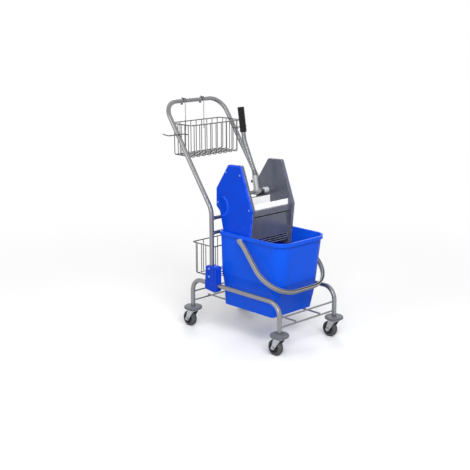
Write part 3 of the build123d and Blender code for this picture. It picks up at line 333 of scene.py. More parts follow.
def dust_group():
    """Dust on what faces up, in soft patches."""
    upward_range = (0.35, 0.95)
    patch_scale = 38.0
    patch_range = (0.3, 0.75)
    group, ends, out = start_group("Settled dust", {"Amount": 0.2}, ("Mask",))
    normal = group.nodes.new("ShaderNodeTexCoord").outputs["Normal"]
    split = group.nodes.new("ShaderNodeSeparateXYZ")
    group.links.new(normal, split.inputs["Vector"])
    upward = add_range(group, split.outputs["Z"], *upward_range)
    patch = add_noise(group, piece_position(group), patch_scale, detail=6.0, roughness=0.62)
    dusty = add_math(group, "MULTIPLY", upward, add_range(group, patch, *patch_range))
    amount = add_math(group, "MULTIPLY", dusty, ends.outputs["Amount"])
    group.links.new(amount, out.inputs["Mask"])
    return group


GROUPS = {
    "Moulded grain": grain_group,
    "Scuffs": scuff_group,
    "Rubbed edges": edge_group,
    "Metal flake": flake_group,
    "Settled dust": dust_group,
}


# Materials


def start_material(name):
    """Make an empty material and give its tree and its shader."""
    material = bpy.data.materials.new(name)
    material.use_nodes = True
    return material, material.node_tree, material.node_tree.nodes["Principled BSDF"]


def place_group(tree, name, **values):
    """Put a shared effect into a material with its own values."""
    node = tree.nodes.new("ShaderNodeGroup")
    node.node_tree = bpy.data.node_groups.get(name) or GROUPS[name]()
    for label, value in values.items():
        node.inputs[label.replace("_", " ").capitalize()].default_value = value
    return node.outputs


def mix_colour(tree, factor, first, second):
    """Mix two colours, each a socket or three numbers, by a mask."""
    node = tree.nodes.new("ShaderNodeMix")
    node.data_type = "RGBA"
    tree.links.new(factor, node.inputs[0])
    for socket, term in ((node.inputs[6], first), (node.inputs[7], second)):
        if isinstance(term, bpy.types.NodeSocket):
            tree.links.new(term, socket)
        else:
            socket.default_value = (*term, 1.0)
    return node.outputs[2]


def scaled(rgb, factor, lift=0.0):
    """Give a colour made lighter or darker, and lifted towards white."""
    return tuple(min(1.0, c * factor) * (1 - lift) + lift for c in rgb)


def add_bump(tree, shader, height, depth, strength):
    """Feed a height to the shader's normal."""
    bump = tree.nodes.new("ShaderNodeBump")
    bump.inputs["Strength"].default_value = strength
    bump.inputs["Distance"].default_value = depth
    tree.links.new(height, bump.inputs["Height"])
    tree.links.new(bump.outputs["Normal"], shader.inputs["Normal"])


def moulded(
    name,
    rgb,
    roughness,
    grain=900.0,
    edge=0.25,
    reach=0.0022,
    gain=5.0,
    dust=0.03,
    specular=0.3,
    painted_glow=0.0,
):
    """Moulded plastic: grain, clouds of shade, rubbed lines, edges paled by wear and by a painted
    highlight, dust, and a painted glow.
    """
    dark_cloud = scaled(rgb, 0.95)
    light_cloud = scaled(rgb, 1.05)
    worn_and_highlit_edge = scaled(rgb, 1.25, 0.22)
    rubbed_line = scaled(rgb, 1.2, 0.18)
    dust_tint = (0.52, 0.50, 0.47)
    line_strength = 0.12
    line_dulling = 0.2
    smoothest = roughness - 0.04
    roughest = roughness + 0.05
    skin_depth = 0.00025
    skin_strength = 0.35
    material, tree, shader = start_material(name)
    skin = place_group(tree, "Moulded grain", grain_scale=grain)
    scuffs = place_group(tree, "Scuffs", cover=0.35)
    edges = place_group(tree, "Rubbed edges", reach=reach, gain=gain)
    dusty = place_group(tree, "Settled dust", amount=dust)
    base = mix_colour(tree, skin["Cloud"], dark_cloud, light_cloud)
    # Paler edges: rubbed wear, and where the edge strength is high a painted highlight along
    # chamfers and rounded edges
    base = mix_colour(tree, add_math(tree, "MULTIPLY", edges["Mask"], edge), base, worn_and_highlit_edge)
    lined = add_math(tree, "MULTIPLY", scuffs["Mask"], line_strength)
    base = mix_colour(tree, lined, base, rubbed_line)
    base = mix_colour(tree, dusty["Mask"], base, dust_tint)
    tree.links.new(base, shader.inputs["Base Color"])
    gloss = add_range(tree, skin["Cloud"], 0.0, 1.0, smoothest, roughest)
    dulled = add_math(tree, "MULTIPLY", scuffs["Mask"], line_dulling)
    tree.links.new(add_math(tree, "ADD", gloss, dulled), shader.inputs["Roughness"])
    shader.inputs["Specular IOR Level"].default_value = specular
    # Painted glow: the part gives off light in its own colour, as though lit where no lamp reaches
    shader.inputs["Emission Color"].default_value = (*rgb, 1)
    shader.inputs["Emission Strength"].default_value = painted_glow
    add_bump(tree, shader, skin["Height"], skin_depth, skin_strength)
    return material


def coated_metal(name, rgb, roughness, metallic, flake=1400.0, dust=0.06):
    """Metal under a thin silver coat: flakes, orange peel and a change of gloss."""
    dark_flake = scaled(rgb, 0.93)
    light_flake = scaled(rgb, 1.07)
    bright_edge = scaled(rgb, 1.3)
    edge_strength = 0.3
    dull_line = scaled(rgb, 0.8)
    line_strength = 0.2
    dust_tint = (0.40, 0.38, 0.35)
    smoothest = roughness - 0.05
    roughest = roughness + 0.06
    peel_depth = 0.0001
    peel_strength = 0.12
    material, tree, shader = start_material(name)
    coat = place_group(tree, "Metal flake", flake_scale=flake)
    edges = place_group(tree, "Rubbed edges", reach=0.0015)
    dusty = place_group(tree, "Settled dust", amount=dust)
    scuffs = place_group(tree, "Scuffs", scale=90.0, cover=0.3)
    base = mix_colour(tree, coat["Flake"], dark_flake, light_flake)
    rubbed = add_math(tree, "MULTIPLY", edges["Mask"], edge_strength)
    base = mix_colour(tree, rubbed, base, bright_edge)
    lined = add_math(tree, "MULTIPLY", scuffs["Mask"], line_strength)
    base = mix_colour(tree, lined, base, dull_line)
    base = mix_colour(tree, dusty["Mask"], base, dust_tint)
    tree.links.new(base, shader.inputs["Base Color"])
    shader.inputs["Metallic"].default_value = metallic
    gloss = add_range(tree, coat["Gloss"], 0.0, 1.0, smoothest, roughest)
    tree.links.new(gloss, shader.inputs["Roughness"])
    add_bump(tree, shader, coat["Height"], peel_depth, peel_strength)
    return material


def rubber(name, rgb, roughness, dust, specular=0.3):
    """Moulded rubber: matt, a little chalky, with dust in its grain."""
    dark_cloud = scaled(rgb, 0.86)
    light_cloud = scaled(rgb, 1.12)
    chalk_tint = scaled(rgb, 1.3, 0.04)
    chalk_strength = 0.16
    pale_edge = scaled(rgb, 1.2, 0.06)
    edge_strength = 0.35
    dust_tint = (0.36, 0.34, 0.31)
    smoothest = roughness - 0.06
    roughest = roughness + 0.08
    skin_depth = 0.0004
    skin_strength = 0.5
    material, tree, shader = start_material(name)
    skin = place_group(tree, "Moulded grain", grain_scale=520.0, cloud_scale=26.0)
    edges = place_group(tree, "Rubbed edges", reach=0.0018)
    dusty = place_group(tree, "Settled dust", amount=dust)
    base = mix_colour(tree, skin["Cloud"], dark_cloud, light_cloud)
    chalk = add_math(tree, "MULTIPLY", skin["Height"], chalk_strength)
    base = mix_colour(tree, chalk, base, chalk_tint)
    rubbed = add_math(tree, "MULTIPLY", edges["Mask"], edge_strength)
    base = mix_colour(tree, rubbed, base, pale_edge)
    base = mix_colour(tree, dusty["Mask"], base, dust_tint)
    tree.links.new(base, shader.inputs["Base Color"])
    gloss = add_range(tree, skin["Cloud"], 0.0, 1.0, smoothest, roughest)
    tree.links.new(gloss, shader.inputs["Roughness"])
    shader.inputs["Specular IOR Level"].default_value = specular
    add_bump(tree, shader, skin["Height"], skin_depth, skin_strength)
    return material


# Each finish: its kind, the name of its colour, and its own values
FINISHES = {
    "Bucket plastic": (moulded, "bucket", {"roughness": 0.36, "specular": 0.14, "dust": 0.015}),
    "Clamp plastic": (
        moulded, "clamp", {"roughness": 0.42, "edge": 0.35, "specular": 0.14, "dust": 0.015}
    ),
    # Painted highlight: the strong, wide edge mask lightens the covers' front chamfers as a lamp's
    # highlight would
    "Cover plastic": (
        moulded,
        "cover",
        {"roughness": 0.22, "edge": 0.8, "reach": 0.0045, "specular": 0.08, "dust": 0.01},
    ),
    # Painted highlight: the strong edge mask and high gain paint a light line along the plates'
    # rounded front edges
    "Chamber plastic": (
        moulded,
        "chamber",
        {
            "roughness": 0.25,
            "grain": 700.0,
            "edge": 0.9,
            "reach": 0.004,
            "gain": 16.0,
            "specular": 0.56,
        },
    ),
    # Painted glow: the jaws give off a faint light so they read white inside the shaded chamber
    "Jaw plastic": (moulded, "jaws", {"roughness": 0.45, "edge": 0.1, "dust": 0.0, "painted_glow": 0.09}),
    "Bush plastic": (moulded, "bush", {"roughness": 0.35, "edge": 0.1}),
    "Gear nylon": (moulded, "nylon", {"roughness": 0.40, "edge": 0.1}),
    "Bail plastic": (moulded, "bail", {"roughness": 0.44, "grain": 750.0, "edge": 0.3}),
    "Hub plastic": (moulded, "hub", {"roughness": 0.38, "dust": 0.1}),
    "Silver tube": (coated_metal, "tube", {"roughness": 0.32, "metallic": 0.85}),
    "Plated wire": (coated_metal, "wire", {"roughness": 0.28, "metallic": 0.9, "flake": 2200.0}),
    "Zinc plate": (
        coated_metal, "zinc", {"roughness": 0.30, "metallic": 1.0, "flake": 1100.0, "dust": 0.12}
    ),
    "Screw plate": (coated_metal, "screw", {"roughness": 0.34, "metallic": 0.3, "flake": 1100.0}),
    "Cast metal": (
        coated_metal, "cast", {"roughness": 0.38, "metallic": 0.6, "flake": 1100.0, "dust": 0.0}
    ),
    "Drawn bar": (coated_metal, "shaft", {"roughness": 0.30, "metallic": 0.9, "flake": 1800.0}),
    "Bumper rubber": (rubber, "bumper", {"roughness": 0.55, "dust": 0.15}),
    "Tyre rubber": (rubber, "tyre", {"roughness": 0.66, "dust": 0.08}),
    "Grip rubber": (rubber, "grip", {"roughness": 0.60, "dust": 0.02, "specular": 0.22}),
}


def finish(name):
    """Give a material by name, made from the scene's colours when it is first asked for."""
    made = bpy.data.materials.get(name)
    if made:
        return made
    kind, tint, values = FINISHES[name]
    return kind(name, getattr(bpy.context.scene.trolley_colours, tint), **values)


def dress(finish_name, *nodes):
    """Give nodes of the frame a material."""
    material = finish(finish_name)
    for node in nodes:
        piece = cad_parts[node]
        if not piece.material_slots:
            piece.data.materials.append(material)
        for slot in piece.material_slots:
            slot.material = material


# Making pieces


def add_piece(name, work, finish_name, body, crease=35):
    """Turn a bmesh into a piece that rides on a body of the frame."""
    bmesh.ops.recalc_face_normals(work, faces=work.faces)
    mesh = bpy.data.meshes.new(name)
    work.to_mesh(mesh)
    work.free()
    mesh.polygons.foreach_set("use_smooth", [True] * len(mesh.polygons))
    mesh.set_sharp_from_angle(angle=math.radians(crease))
    piece = bpy.data.objects.new(name, mesh)
    bpy.context.scene.collection.objects.link(piece)
    mesh.materials.append(finish(finish_name))
    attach(piece, body)
    return piece


def solids_of(node):
    """Give the boxes of the separate solids in a node, each as its lowest and highest corner."""
    work = bmesh.new()
    work.from_mesh(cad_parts[node].data)
    bmesh.ops.remove_doubles(work, verts=work.verts, dist=SAME_PLACE)
    left = set(work.verts)
    boxes = []
    while left:
        reached = [left.pop()]
        solid = []
        while reached:
            vert = reached.pop()
            solid.append(vert.co.copy())
            for edge in vert.link_edges:
                other = edge.other_vert(vert)
                if other in left:
                    left.remove(other)
                    reached.append(other)
        low = Vector(min(co[axis] for co in solid) for axis in range(3))
        high = Vector(max(co[axis] for co in solid) for axis in range(3))
        boxes.append((low, high))
    work.free()
    return sorted(boxes, key=lambda box: tuple(box[0]))


def middle(box):
    """Give the middle of a box."""
    return (box[0] + box[1]) / 2


def sweep_bead(work, path, radius, sides=8, lumps=0.16):
    """Sweep a round bead with a welder's ripples along a closed path."""
    slow_ripple = 2.1
    quick_ripple = 5.3
    count = len(path)
    centre = sum(path, Vector()) / count
    rings = []
    for number, point in enumerate(path):
        along = (path[(number + 1) % count] - path[number - 1]).normalized()
        out = (point - centre).normalized()
        across = along.cross(out).normalized()
        out = across.cross(along)
        ripple = math.sin(number * slow_ripple) + math.sin(number * quick_ripple) / 2
        size = radius * (1 + lumps * ripple)
        ring = []
        for step in range(sides):
            turn = 2 * math.pi * step / sides
            offset = out * math.cos(turn) + across * math.sin(turn)
            ring.append(work.verts.new(point + offset * size))
        rings.append(ring)
    for number in range(count):
        ring, following = rings[number], rings[(number + 1) % count]
        for step in range(sides):
            after = (step + 1) % sides
            work.faces.new((ring[step], ring[after], following[after], following[step]))


def coped_path(tube_x, tube_y, tube_radius, height, rod_radius, steps=28):
    """Give the line where a rod along Y meets an upright tube on its inner side."""
    inward = -1 if tube_y > 0 else 1
    path = []
    for step in range(steps):
        turn = 2 * math.pi * step / steps
        x = rod_radius * math.cos(turn)
        reach = math.sqrt(tube_radius**2 - x**2)
        z = height + rod_radius * math.sin(turn)
        path.append(Vector((tube_x + x, tube_y + inward * reach, z)))
    return path


def add_spot(work, place, radius, flatten=(1, 1, 1)):
    """Add a small rounded weld spot."""
    scale = Matrix.Diagonal((*flatten, 1))
    bmesh.ops.create_icosphere(
        work, subdivisions=2, radius=radius, matrix=Matrix.Translation(place) @ scale
    )


def add_sleeve(work, centre, inner, outer, width, start, end, tail=0.0, steps=24):
    """Add an open ring about a bar along Y, between two radii and two angles, and a tail down."""
    half = width / 2
    soft = (outer - inner) / 4
    section = [
        (inner, -half), (outer - soft, -half), (outer, -half + soft),
        (outer, half - soft), (outer - soft, half), (inner, half),
    ]
    places = [(start + (end - start) * step / steps, 0.0) for step in range(steps + 1)]
    if tail:
        places.append((end, tail))
    rings = []
    for turn, drop in places:
        ring = []
        for radius, y in section:
            spot = Vector((radius * math.cos(turn), y, radius * math.sin(turn) - drop))
            ring.append(work.verts.new(centre + spot))
        rings.append(ring)
    for ring, following in zip(rings, rings[1:]):
        for number in range(len(section)):
            after = (number + 1) % len(section)
            work.faces.new((ring[number], ring[after], following[after], following[number]))
    work.faces.new(rings[0])
    work.faces.new(reversed(rings[-1]))


def add_block(work, low, high):
    """Add a box between two corners."""
    size = high - low
    matrix = Matrix.Translation((low + high) / 2) @ Matrix.Diagonal((*size, 1))
    bmesh.ops.create_cube(work, size=1, matrix=matrix)


def add_rib(work, path, outward, width, height, steps=6):
    """Add a half-round rib along a path on a flat face, sunk a little and run out at its ends."""
    tip = 0.12
    run_out_points = 4
    sunk = 0.15 * height
    last = len(path) - 1
    rings = []
    for number, point in enumerate(path):
        along = (path[min(number + 1, last)] - path[max(number - 1, 0)]).normalized()
        across = along.cross(outward)
        run_out = min(1.0, tip + min(number, last - number) / run_out_points)
        ring = []
        for step in range(steps + 1):
            turn = math.pi * step / steps
            side = across * math.cos(turn) * width / 2 * run_out
            rise = outward * (math.sin(turn) * height * run_out - sunk)
            ring.append(work.verts.new(point + side + rise))
        rings.append(ring)
    for ring, following in zip(rings, rings[1:]):
        for step in range(steps + 1):
            after = (step + 1) % (steps + 1)
            work.faces.new((ring[step], ring[after], following[after], following[step]))
    work.faces.new(rings[0])
    work.faces.new(reversed(rings[-1]))


def copy_faces(node, wanted):
    """Give a bmesh with those faces of a node for which wanted(face) holds."""
    work = bmesh.new()
    work.from_mesh(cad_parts[node].data)
    bmesh.ops.remove_doubles(work, verts=work.verts, dist=SAME_PLACE)
    work.normal_update()
    others = [face for face in work.faces if not wanted(face)]
    bmesh.ops.delete(work, geom=others, context="FACES")
    return work


def facing(place, direction):
    """Give the matrix that stands a piece's Z axis on a place along a direction."""
    turn = Vector(direction).to_track_quat("Z", "Y").to_matrix().to_4x4()
    return Matrix.Translation(place) @ turn


def add_lathe(work, profile, matrix, steps=32):
    """Turn a profile of (radius, height) points about Z and put it in place."""
    rings = []
    for radius, height in profile:
        if radius == 0:
            rings.append([work.verts.new(matrix @ Vector((0, 0, height)))])
            continue
        ring = []
        for step in range(steps):
            turn = 2 * math.pi * step / steps
            spot = Vector((radius * math.cos(turn), radius * math.sin(turn), height))
            ring.append(work.verts.new(matrix @ spot))
        rings.append(ring)
    for ring, following in zip(rings, rings[1:]):
        for step in range(steps):
            after = (step + 1) % steps
            corners = [ring[step % len(ring)], ring[after % len(ring)]]
            corners += [following[after % len(following)], following[step % len(following)]]
            unique = list(dict.fromkeys(corners))
            if len(unique) > 2:
                work.faces.new(unique)


def cross_head_mesh(radius, height, depth):
    """Make a domed screw head with a cross recess, standing on Z = 0."""
    foot = -0.3 * height
    shoulder = 0.35 * height
    dome_steps = 5
    recess_length = 1.25 * radius
    recess_width = 0.26 * radius
    work = bmesh.new()
    profile = [(0, foot), (radius, foot), (radius, shoulder)]
    for step in range(1, dome_steps):
        turn = math.pi / 2 * step / dome_steps
        rise = (height - shoulder) * math.sin(turn)
        profile.append((radius * math.cos(turn), shoulder + rise))
    profile.append((0, height))
    add_lathe(work, profile, Matrix.Identity(4))
    head = bpy.data.meshes.new("head")
    work.to_mesh(head)
    work.free()
    cutter = bmesh.new()
    top = Matrix.Translation((0, 0, height))
    for size in ((recess_length, recess_width), (recess_width, recess_length)):
        bar = top @ Matrix.Diagonal((*size, 2 * depth, 1))
        bmesh.ops.create_cube(cutter, size=1, matrix=bar)
    cut = bpy.data.meshes.new("cut")
    cutter.to_mesh(cut)
    cutter.free()
    return subtract(head, cut)


def subtract(mesh, cut):
    """Cut one mesh from another and give the result as a mesh."""
    body = bpy.data.objects.new("body", mesh)
    tool = bpy.data.objects.new("tool", cut)
    for item in (body, tool):
        bpy.context.scene.collection.objects.link(item)
    modifier = body.modifiers.new("Cut", "BOOLEAN")
    modifier.operation = "DIFFERENCE"
    modifier.solver = "EXACT"
    modifier.use_self = True
    modifier.object = tool
    result = bpy.data.meshes.new_from_object(
        body.evaluated_get(bpy.context.evaluated_depsgraph_get())
    )
    for item in (body, tool):
        data = item.data
        bpy.data.objects.remove(item)
        bpy.data.meshes.remove(data)
    return result


def add_copy(work, mesh, matrix):
    """Put a copy of a mesh into a bmesh."""
    copy = mesh.copy()
    copy.transform(matrix)
    work.from_mesh(copy)
    bpy.data.meshes.remove(copy)


def hex_nut_mesh(radius, height):
    """Make a chamfered hexagon nut with a bolt end, standing on Z = 0."""
    corner = radius / math.cos(math.pi / 6)
    chamfer = 0.14 * radius
    bolt = 0.55 * radius
    bolt_tip = 0.42 * radius
    bolt_profile = [
        (0, 0),
        (bolt, 0),
        (bolt, 1.2 * height),
        (bolt_tip, 1.42 * height),
        (0, 1.5 * height),
    ]
    work = bmesh.new()
    bmesh.ops.create_cone(
        work,
        cap_ends=True,
        segments=6,
        radius1=corner,
        radius2=corner,
        depth=height,
        matrix=Matrix.Translation((0, 0, height / 2)),
    )
    top = [e for e in work.edges if all(v.co.z > height / 2 for v in e.verts)]
    bmesh.ops.bevel(work, geom=top, offset=chamfer, segments=2, affect="EDGES", profile=0.6)
    add_lathe(work, bolt_profile, Matrix.Identity(4), 24)
    mesh = bpy.data.meshes.new("nut")
    work.to_mesh(mesh)
    work.free()
    return mesh


def add_screw_heads(name, node, body, height, depth):
    """Put a cross-recessed head on the outer end of each of a node's screws, which lie along Y."""
    overhang = 1.02
    heads = bmesh.new()
    for box in solids_of(node):
        place = middle(box)
        outward = 1 if place.y > 0 else -1
        radius = (box[1].z - box[0].z) / 2
        tip = box[1].y if outward > 0 else box[0].y
        head = cross_head_mesh(radius * overhang, height, depth)
        add_copy(heads, head, facing((place.x, tip, place.z), (0, outward, 0)))
        bpy.data.meshes.remove(head)
    add_piece(name, heads, "Screw plate", body)


# Operators: one for each group of pieces


class TROLLEY_OT_frame(bpy.types.Operator):
    """Dress the tubes, rods and clamps, and weld the frame together"""

    bl_idname = "trolley.dress_frame"
    bl_label = "Frame"

    def execute(self, context):
        details = context.scene.trolley_details
        dress("Silver tube", *TUBES, *RODS)
        for side in SIDES:
            dress("Clamp plastic", f"{side}_clamp_inner", f"{side}_clamp_outer")
        dress("Screw plate", "clamp_screws")

        rail_low, rail_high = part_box("left_side_rail")
        tube_radius = (rail_high.y - rail_low.y) / 2
        leg_y = (rail_high.y + rail_low.y) / 2
        legs = (rail_low.x + tube_radius, rail_high.x - tube_radius)
        wire_low, wire_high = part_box("deck_wires")
        rod_radius = (wire_high.z - wire_low.z) / 2
        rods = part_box("cross_rods")
        bar_steps = 44
        beads = bmesh.new()
        for side in (leg_y, -leg_y):
            for leg in legs:
                for height in (rods[0].z + rod_radius, rods[1].z - rod_radius):
                    path = coped_path(leg, side, tube_radius, height, rod_radius)
                    sweep_bead(beads, path, details.rod_bead)
            for bar in ("upper_crossbar", "lower_crossbar"):
                low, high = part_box(bar)
                radius = (high.z - low.z) / 2
                place = middle((low, high))
                path = coped_path(place.x, side, tube_radius, place.z, radius, bar_steps)
                sweep_bead(beads, path, details.bar_bead)
        spot_radius = 0.62 * rod_radius
        spot_shape = (1.5, 1, 0.8)
        spot_aside = 0.75 * rod_radius
        spot_z = wire_low.z - 0.1 * rod_radius
        for wire_y in (wire_high.y - rod_radius, wire_low.y + rod_radius):
            for leg in legs:
                for along in (-1, 1):
                    place = Vector((leg, wire_y + along * spot_aside, spot_z))
                    add_spot(beads, place, spot_radius, spot_shape)
        add_piece("frame_welds", beads, "Silver tube", "frame", crease=60)
        add_screw_heads(
            "clamp_screw_heads", "clamp_screws", "frame", details.clamp_head, details.recess_depth
        )
        return {"FINISHED"}


class TROLLEY_OT_casters(bpy.types.Operator):
    """Dress the casters and put nuts on their axles"""

    bl_idname = "trolley.dress_casters"
    bl_label = "Casters"

    def execute(self, context):
        details = context.scene.trolley_details
        overhang = 1.03
        behind = 0.8 * details.nut_height
        dress("Bumper rubber", "caster_bumpers")
        dress("Zinc plate", "caster_stems", "swivel_bearings")
        for place in CASTERS:
            dress("Zinc plate", f"{place}_fork", f"{place}_axle")
            dress("Hub plastic", f"{place}_hub")
            dress("Tyre rubber", f"{place}_tyre")
            low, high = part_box(f"{place}_axle")
            axle = middle((low, high))
            radius = (high.z - low.z) / 2
            nuts = bmesh.new()
            nut = hex_nut_mesh(radius * overhang, details.nut_height)
            for outward, face in ((-1, low.y), (1, high.y)):
                foot = face - outward * behind
                add_copy(nuts, nut, facing((axle.x, foot, axle.z), (0, outward, 0)))
            bpy.data.meshes.remove(nut)
            add_piece(f"{place}_axle_nuts", nuts, "Zinc plate", f"{place}_fork")
        return {"FINISHED"}


class TROLLEY_OT_bucket(bpy.types.Operator):
    """Dress the bucket, its bail and the bail's pins, and lay dark strips of painted shade in the
    bail's grooves
    """

    bl_idname = "trolley.dress_bucket"
    bl_label = "Bucket"

    def execute(self, context):
        details = context.scene.trolley_details
        dress("Bucket plastic", "bucket")
        dress("Bail plastic", "bail", "bail_pins")

        leaning = 0.1
        shallowest = 0.0003
        pins = middle(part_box("bail_pins"))
        pivot = Vector((pins.x, 0, pins.z))
        tops = copy_faces("bail", lambda face: min(face.normal.x, face.normal.z) > leaning)
        upward = max(tops.faces, key=lambda face: face.calc_area()).normal.copy()
        half_width = max((face.calc_center_median() - pivot).dot(upward) for face in tops.faces)
        tops.free()

        def in_groove(face):
            """Tell whether a face lies on the floor of a groove."""
            depth = half_width - abs((face.calc_center_median() - pivot).dot(upward))
            return abs(face.normal.dot(upward)) > FACING and shallowest < depth < half_width / 2

        # Painted shade: thin black strips on the grooves' floors stand in for the shade inside the
        # grooves
        strips = copy_faces("bail", in_groove)
        bmesh.ops.solidify(strips, geom=strips.faces, thickness=-details.inlay)
        add_piece("bail_inlays", strips, "Grip rubber", "bail")
        return {"FINISHED"}


class TROLLEY_OT_wringer(bpy.types.Operator):
    """Dress the wringer, put heads on its screws, fill its front slot with a dark strip of painted
    shadow, and ring each cover
    """

    bl_idname = "trolley.dress_wringer"
    bl_label = "Wringer"

    def execute(self, context):
        details = context.scene.trolley_details
        for side in SIDES:
            dress("Cover plastic", f"{side}_wringer_cover")
            dress("Chamber plastic", f"{side}_wringer_plate")
        dress("Chamber plastic", "wringer_front_panel", "wringer_rear_wall", "sieve_floor")
        dress("Jaw plastic", "front_jaw", "press_plate")
        dress("Bush plastic", "axle_bushes")
        dress("Gear nylon", "drive_gear", "press_gear")
        dress("Drawn bar", "press_shaft")
        dress("Screw plate", "cover_screws")
        add_screw_heads(
            "cover_screw_heads", "cover_screws", "wringer", details.cover_head, details.recess_depth
        )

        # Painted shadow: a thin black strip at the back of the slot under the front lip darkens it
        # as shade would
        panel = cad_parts["wringer_front_panel"].data
        slot_low, slot_high = self.front_slot(panel)
        slot_low.x -= details.shadow_strip_depth / 2
        slot_high.x = slot_low.x + details.shadow_strip_depth
        shadow_strip = bmesh.new()
        add_block(shadow_strip, slot_low, slot_high)
        add_piece("front_seal", shadow_strip, "Grip rubber", "wringer")

        shaft = middle(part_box("press_shaft"))
        ring_steps = 40
        ring_turn = details.ring_end - details.ring_start
        for side in SIDES:
            low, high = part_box(f"{side}_wringer_cover")
            outward = 1 if side == "left" else -1
            face_y = high.y if outward > 0 else low.y
            centre = Vector((shaft.x - details.ring_radius, face_y, shaft.z + details.ring_rise))
            path = []
            for step in range(ring_steps + 1):
                turn = details.ring_start + ring_turn * step / ring_steps
                spot = Vector((math.cos(turn), 0, math.sin(turn))) * details.ring_radius
                path.append(centre + spot)
            rib = bmesh.new()
            add_rib(rib, path, Vector((0, outward, 0)), details.ring_width, details.ring_height)
            # Painted highlight: the ring takes the paler bucket blue, not the cover's own blue, so
            # it reads as a lit edge
            add_piece(f"{side}_cover_ring", rib, "Bucket plastic", "wringer")
        return {"FINISHED"}

    def front_slot(self, panel):
        """Give the corners of the back of the slot under the front panel's lip."""
        same_depth = 0.0001
        forward = [face for face in panel.polygons if face.normal.x > FACING]
        back_x = min(face.center.x for face in forward)
        back = [face for face in forward if face.center.x < back_x + same_depth]
        places = [panel.vertices[i].co for face in back for i in face.vertices]
        low = Vector(min(place[axis] for place in places) for axis in range(3))
        high = Vector(max(place[axis] for place in places) for axis in range(3))
        return low, high


class TROLLEY_OT_lever(bpy.types.Operator):
    """Dress the lever with its axle, socket and grip, and clip the axle beside the socket"""

    bl_idname = "trolley.dress_lever"
    bl_label = "Lever"

    def execute(self, context):
        details = context.scene.trolley_details
        dress("Drawn bar", "lever_tube")
        dress("Zinc plate", "lever_axle")
        dress("Cast metal", "lever_socket")
        dress("Grip rubber", "lever_grip", "lever_set_screw")

        low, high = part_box("lever_axle")
        axle = middle((low, high))
        inner = (high.z - low.z) / 2 + details.clip_gap
        outer = inner + details.clip_wall
        socket_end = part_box("lever_socket")[1].y
        clip_y = socket_end - details.clip_overlap + details.clip_width / 2
        centre = Vector((axle.x, clip_y, axle.z))
        clip = bmesh.new()
        add_sleeve(
            clip, centre, inner, outer, details.clip_width, details.clip_start, details.clip_end
        )
        add_piece("axle_clip", clip, "Grip rubber", "lever")
        return {"FINISHED"}


class TROLLEY_OT_baskets(bpy.types.Operator):
    """Dress the wire baskets, weld their wires and sleeve the hangers"""

    bl_idname = "trolley.dress_baskets"
    bl_label = "Baskets"

    def execute(self, context):
        details = context.scene.trolley_details
        crossing_bead = 0.9 * details.wire_bead
        crossing_shape = (1, 1, 0.7)
        end_shape = (1, 1.2, 0.8)
        side_shape = (1.2, 1, 0.8)
        for basket in BASKETS:
            dress("Plated wire", f"{basket}_rim", f"{basket}_wires")
            rim_low, rim_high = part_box(f"{basket}_rim")
            wires = solids_of(f"{basket}_wires")
            lengthwise = [w for w in wires if w[1].y - w[0].y < w[1].x - w[0].x]
            crosswise = [w for w in wires if w not in lengthwise]
            spots = bmesh.new()
            rim_height = (rim_low.z + rim_high.z) / 2
            rim_wire = rim_high.z - rim_low.z
            for first in lengthwise:
                place = middle(first)
                for x in (rim_low.x + rim_wire, rim_high.x - rim_wire):
                    add_spot(spots, Vector((x, place.y, rim_height)), details.wire_bead, end_shape)
                for second in crosswise:
                    crossing = Vector((middle(second).x, place.y, second[0].z))
                    add_spot(spots, crossing, crossing_bead, crossing_shape)
            for second in crosswise:
                place = middle(second)
                for y in (rim_low.y + rim_wire, rim_high.y - rim_wire):
                    add_spot(spots, Vector((place.x, y, rim_height)), details.wire_bead, side_shape)
            add_piece(f"{basket}_welds", spots, "Plated wire", basket, crease=80)
        dress("Plated wire", "upper_basket_arms", "lower_basket_hooks")
        dress("Zinc plate", "upper_basket_hangers")

        rail_low, rail_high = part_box("left_side_rail")
        bar_radius = (rail_high.y - rail_low.y) / 2
        bar_low, bar_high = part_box("push_handle")
        bar = Vector((bar_low.x + bar_radius, 0, bar_high.z - bar_radius))
        sleeves = bmesh.new()
        inner = bar_radius + details.sleeve_gap
        outer = inner + details.sleeve_wall
        for hanger in solids_of("upper_basket_hangers"):
            centre = Vector((bar.x, middle(hanger).y, bar.z))
            add_sleeve(
                sleeves,
                centre,
                inner,
                outer,
                details.sleeve_width,
                details.sleeve_start,
                math.pi,
                details.sleeve_tail,
            )
        add_piece("hanger_sleeves", sleeves, "Plated wire", "upper_basket")
        return {"FINISHED"}


# Each lamp: its name, place and size in metres, power in watts, and whether gloss mirrors it
LAMPS = (
    ("key", (3.0, -1.6, 3.4), (2.0, 2.0), 140, False),
    ("fill", (-0.6, -3.8, 2.2), (1.6, 1.6), 28, True),
    ("strip", (2.3, -3.1, 2.0), (0.32, 2.4), 42, True),
    ("rim", (-2.6, 2.4, 3.0), (1.6, 1.6), 45, True),
)


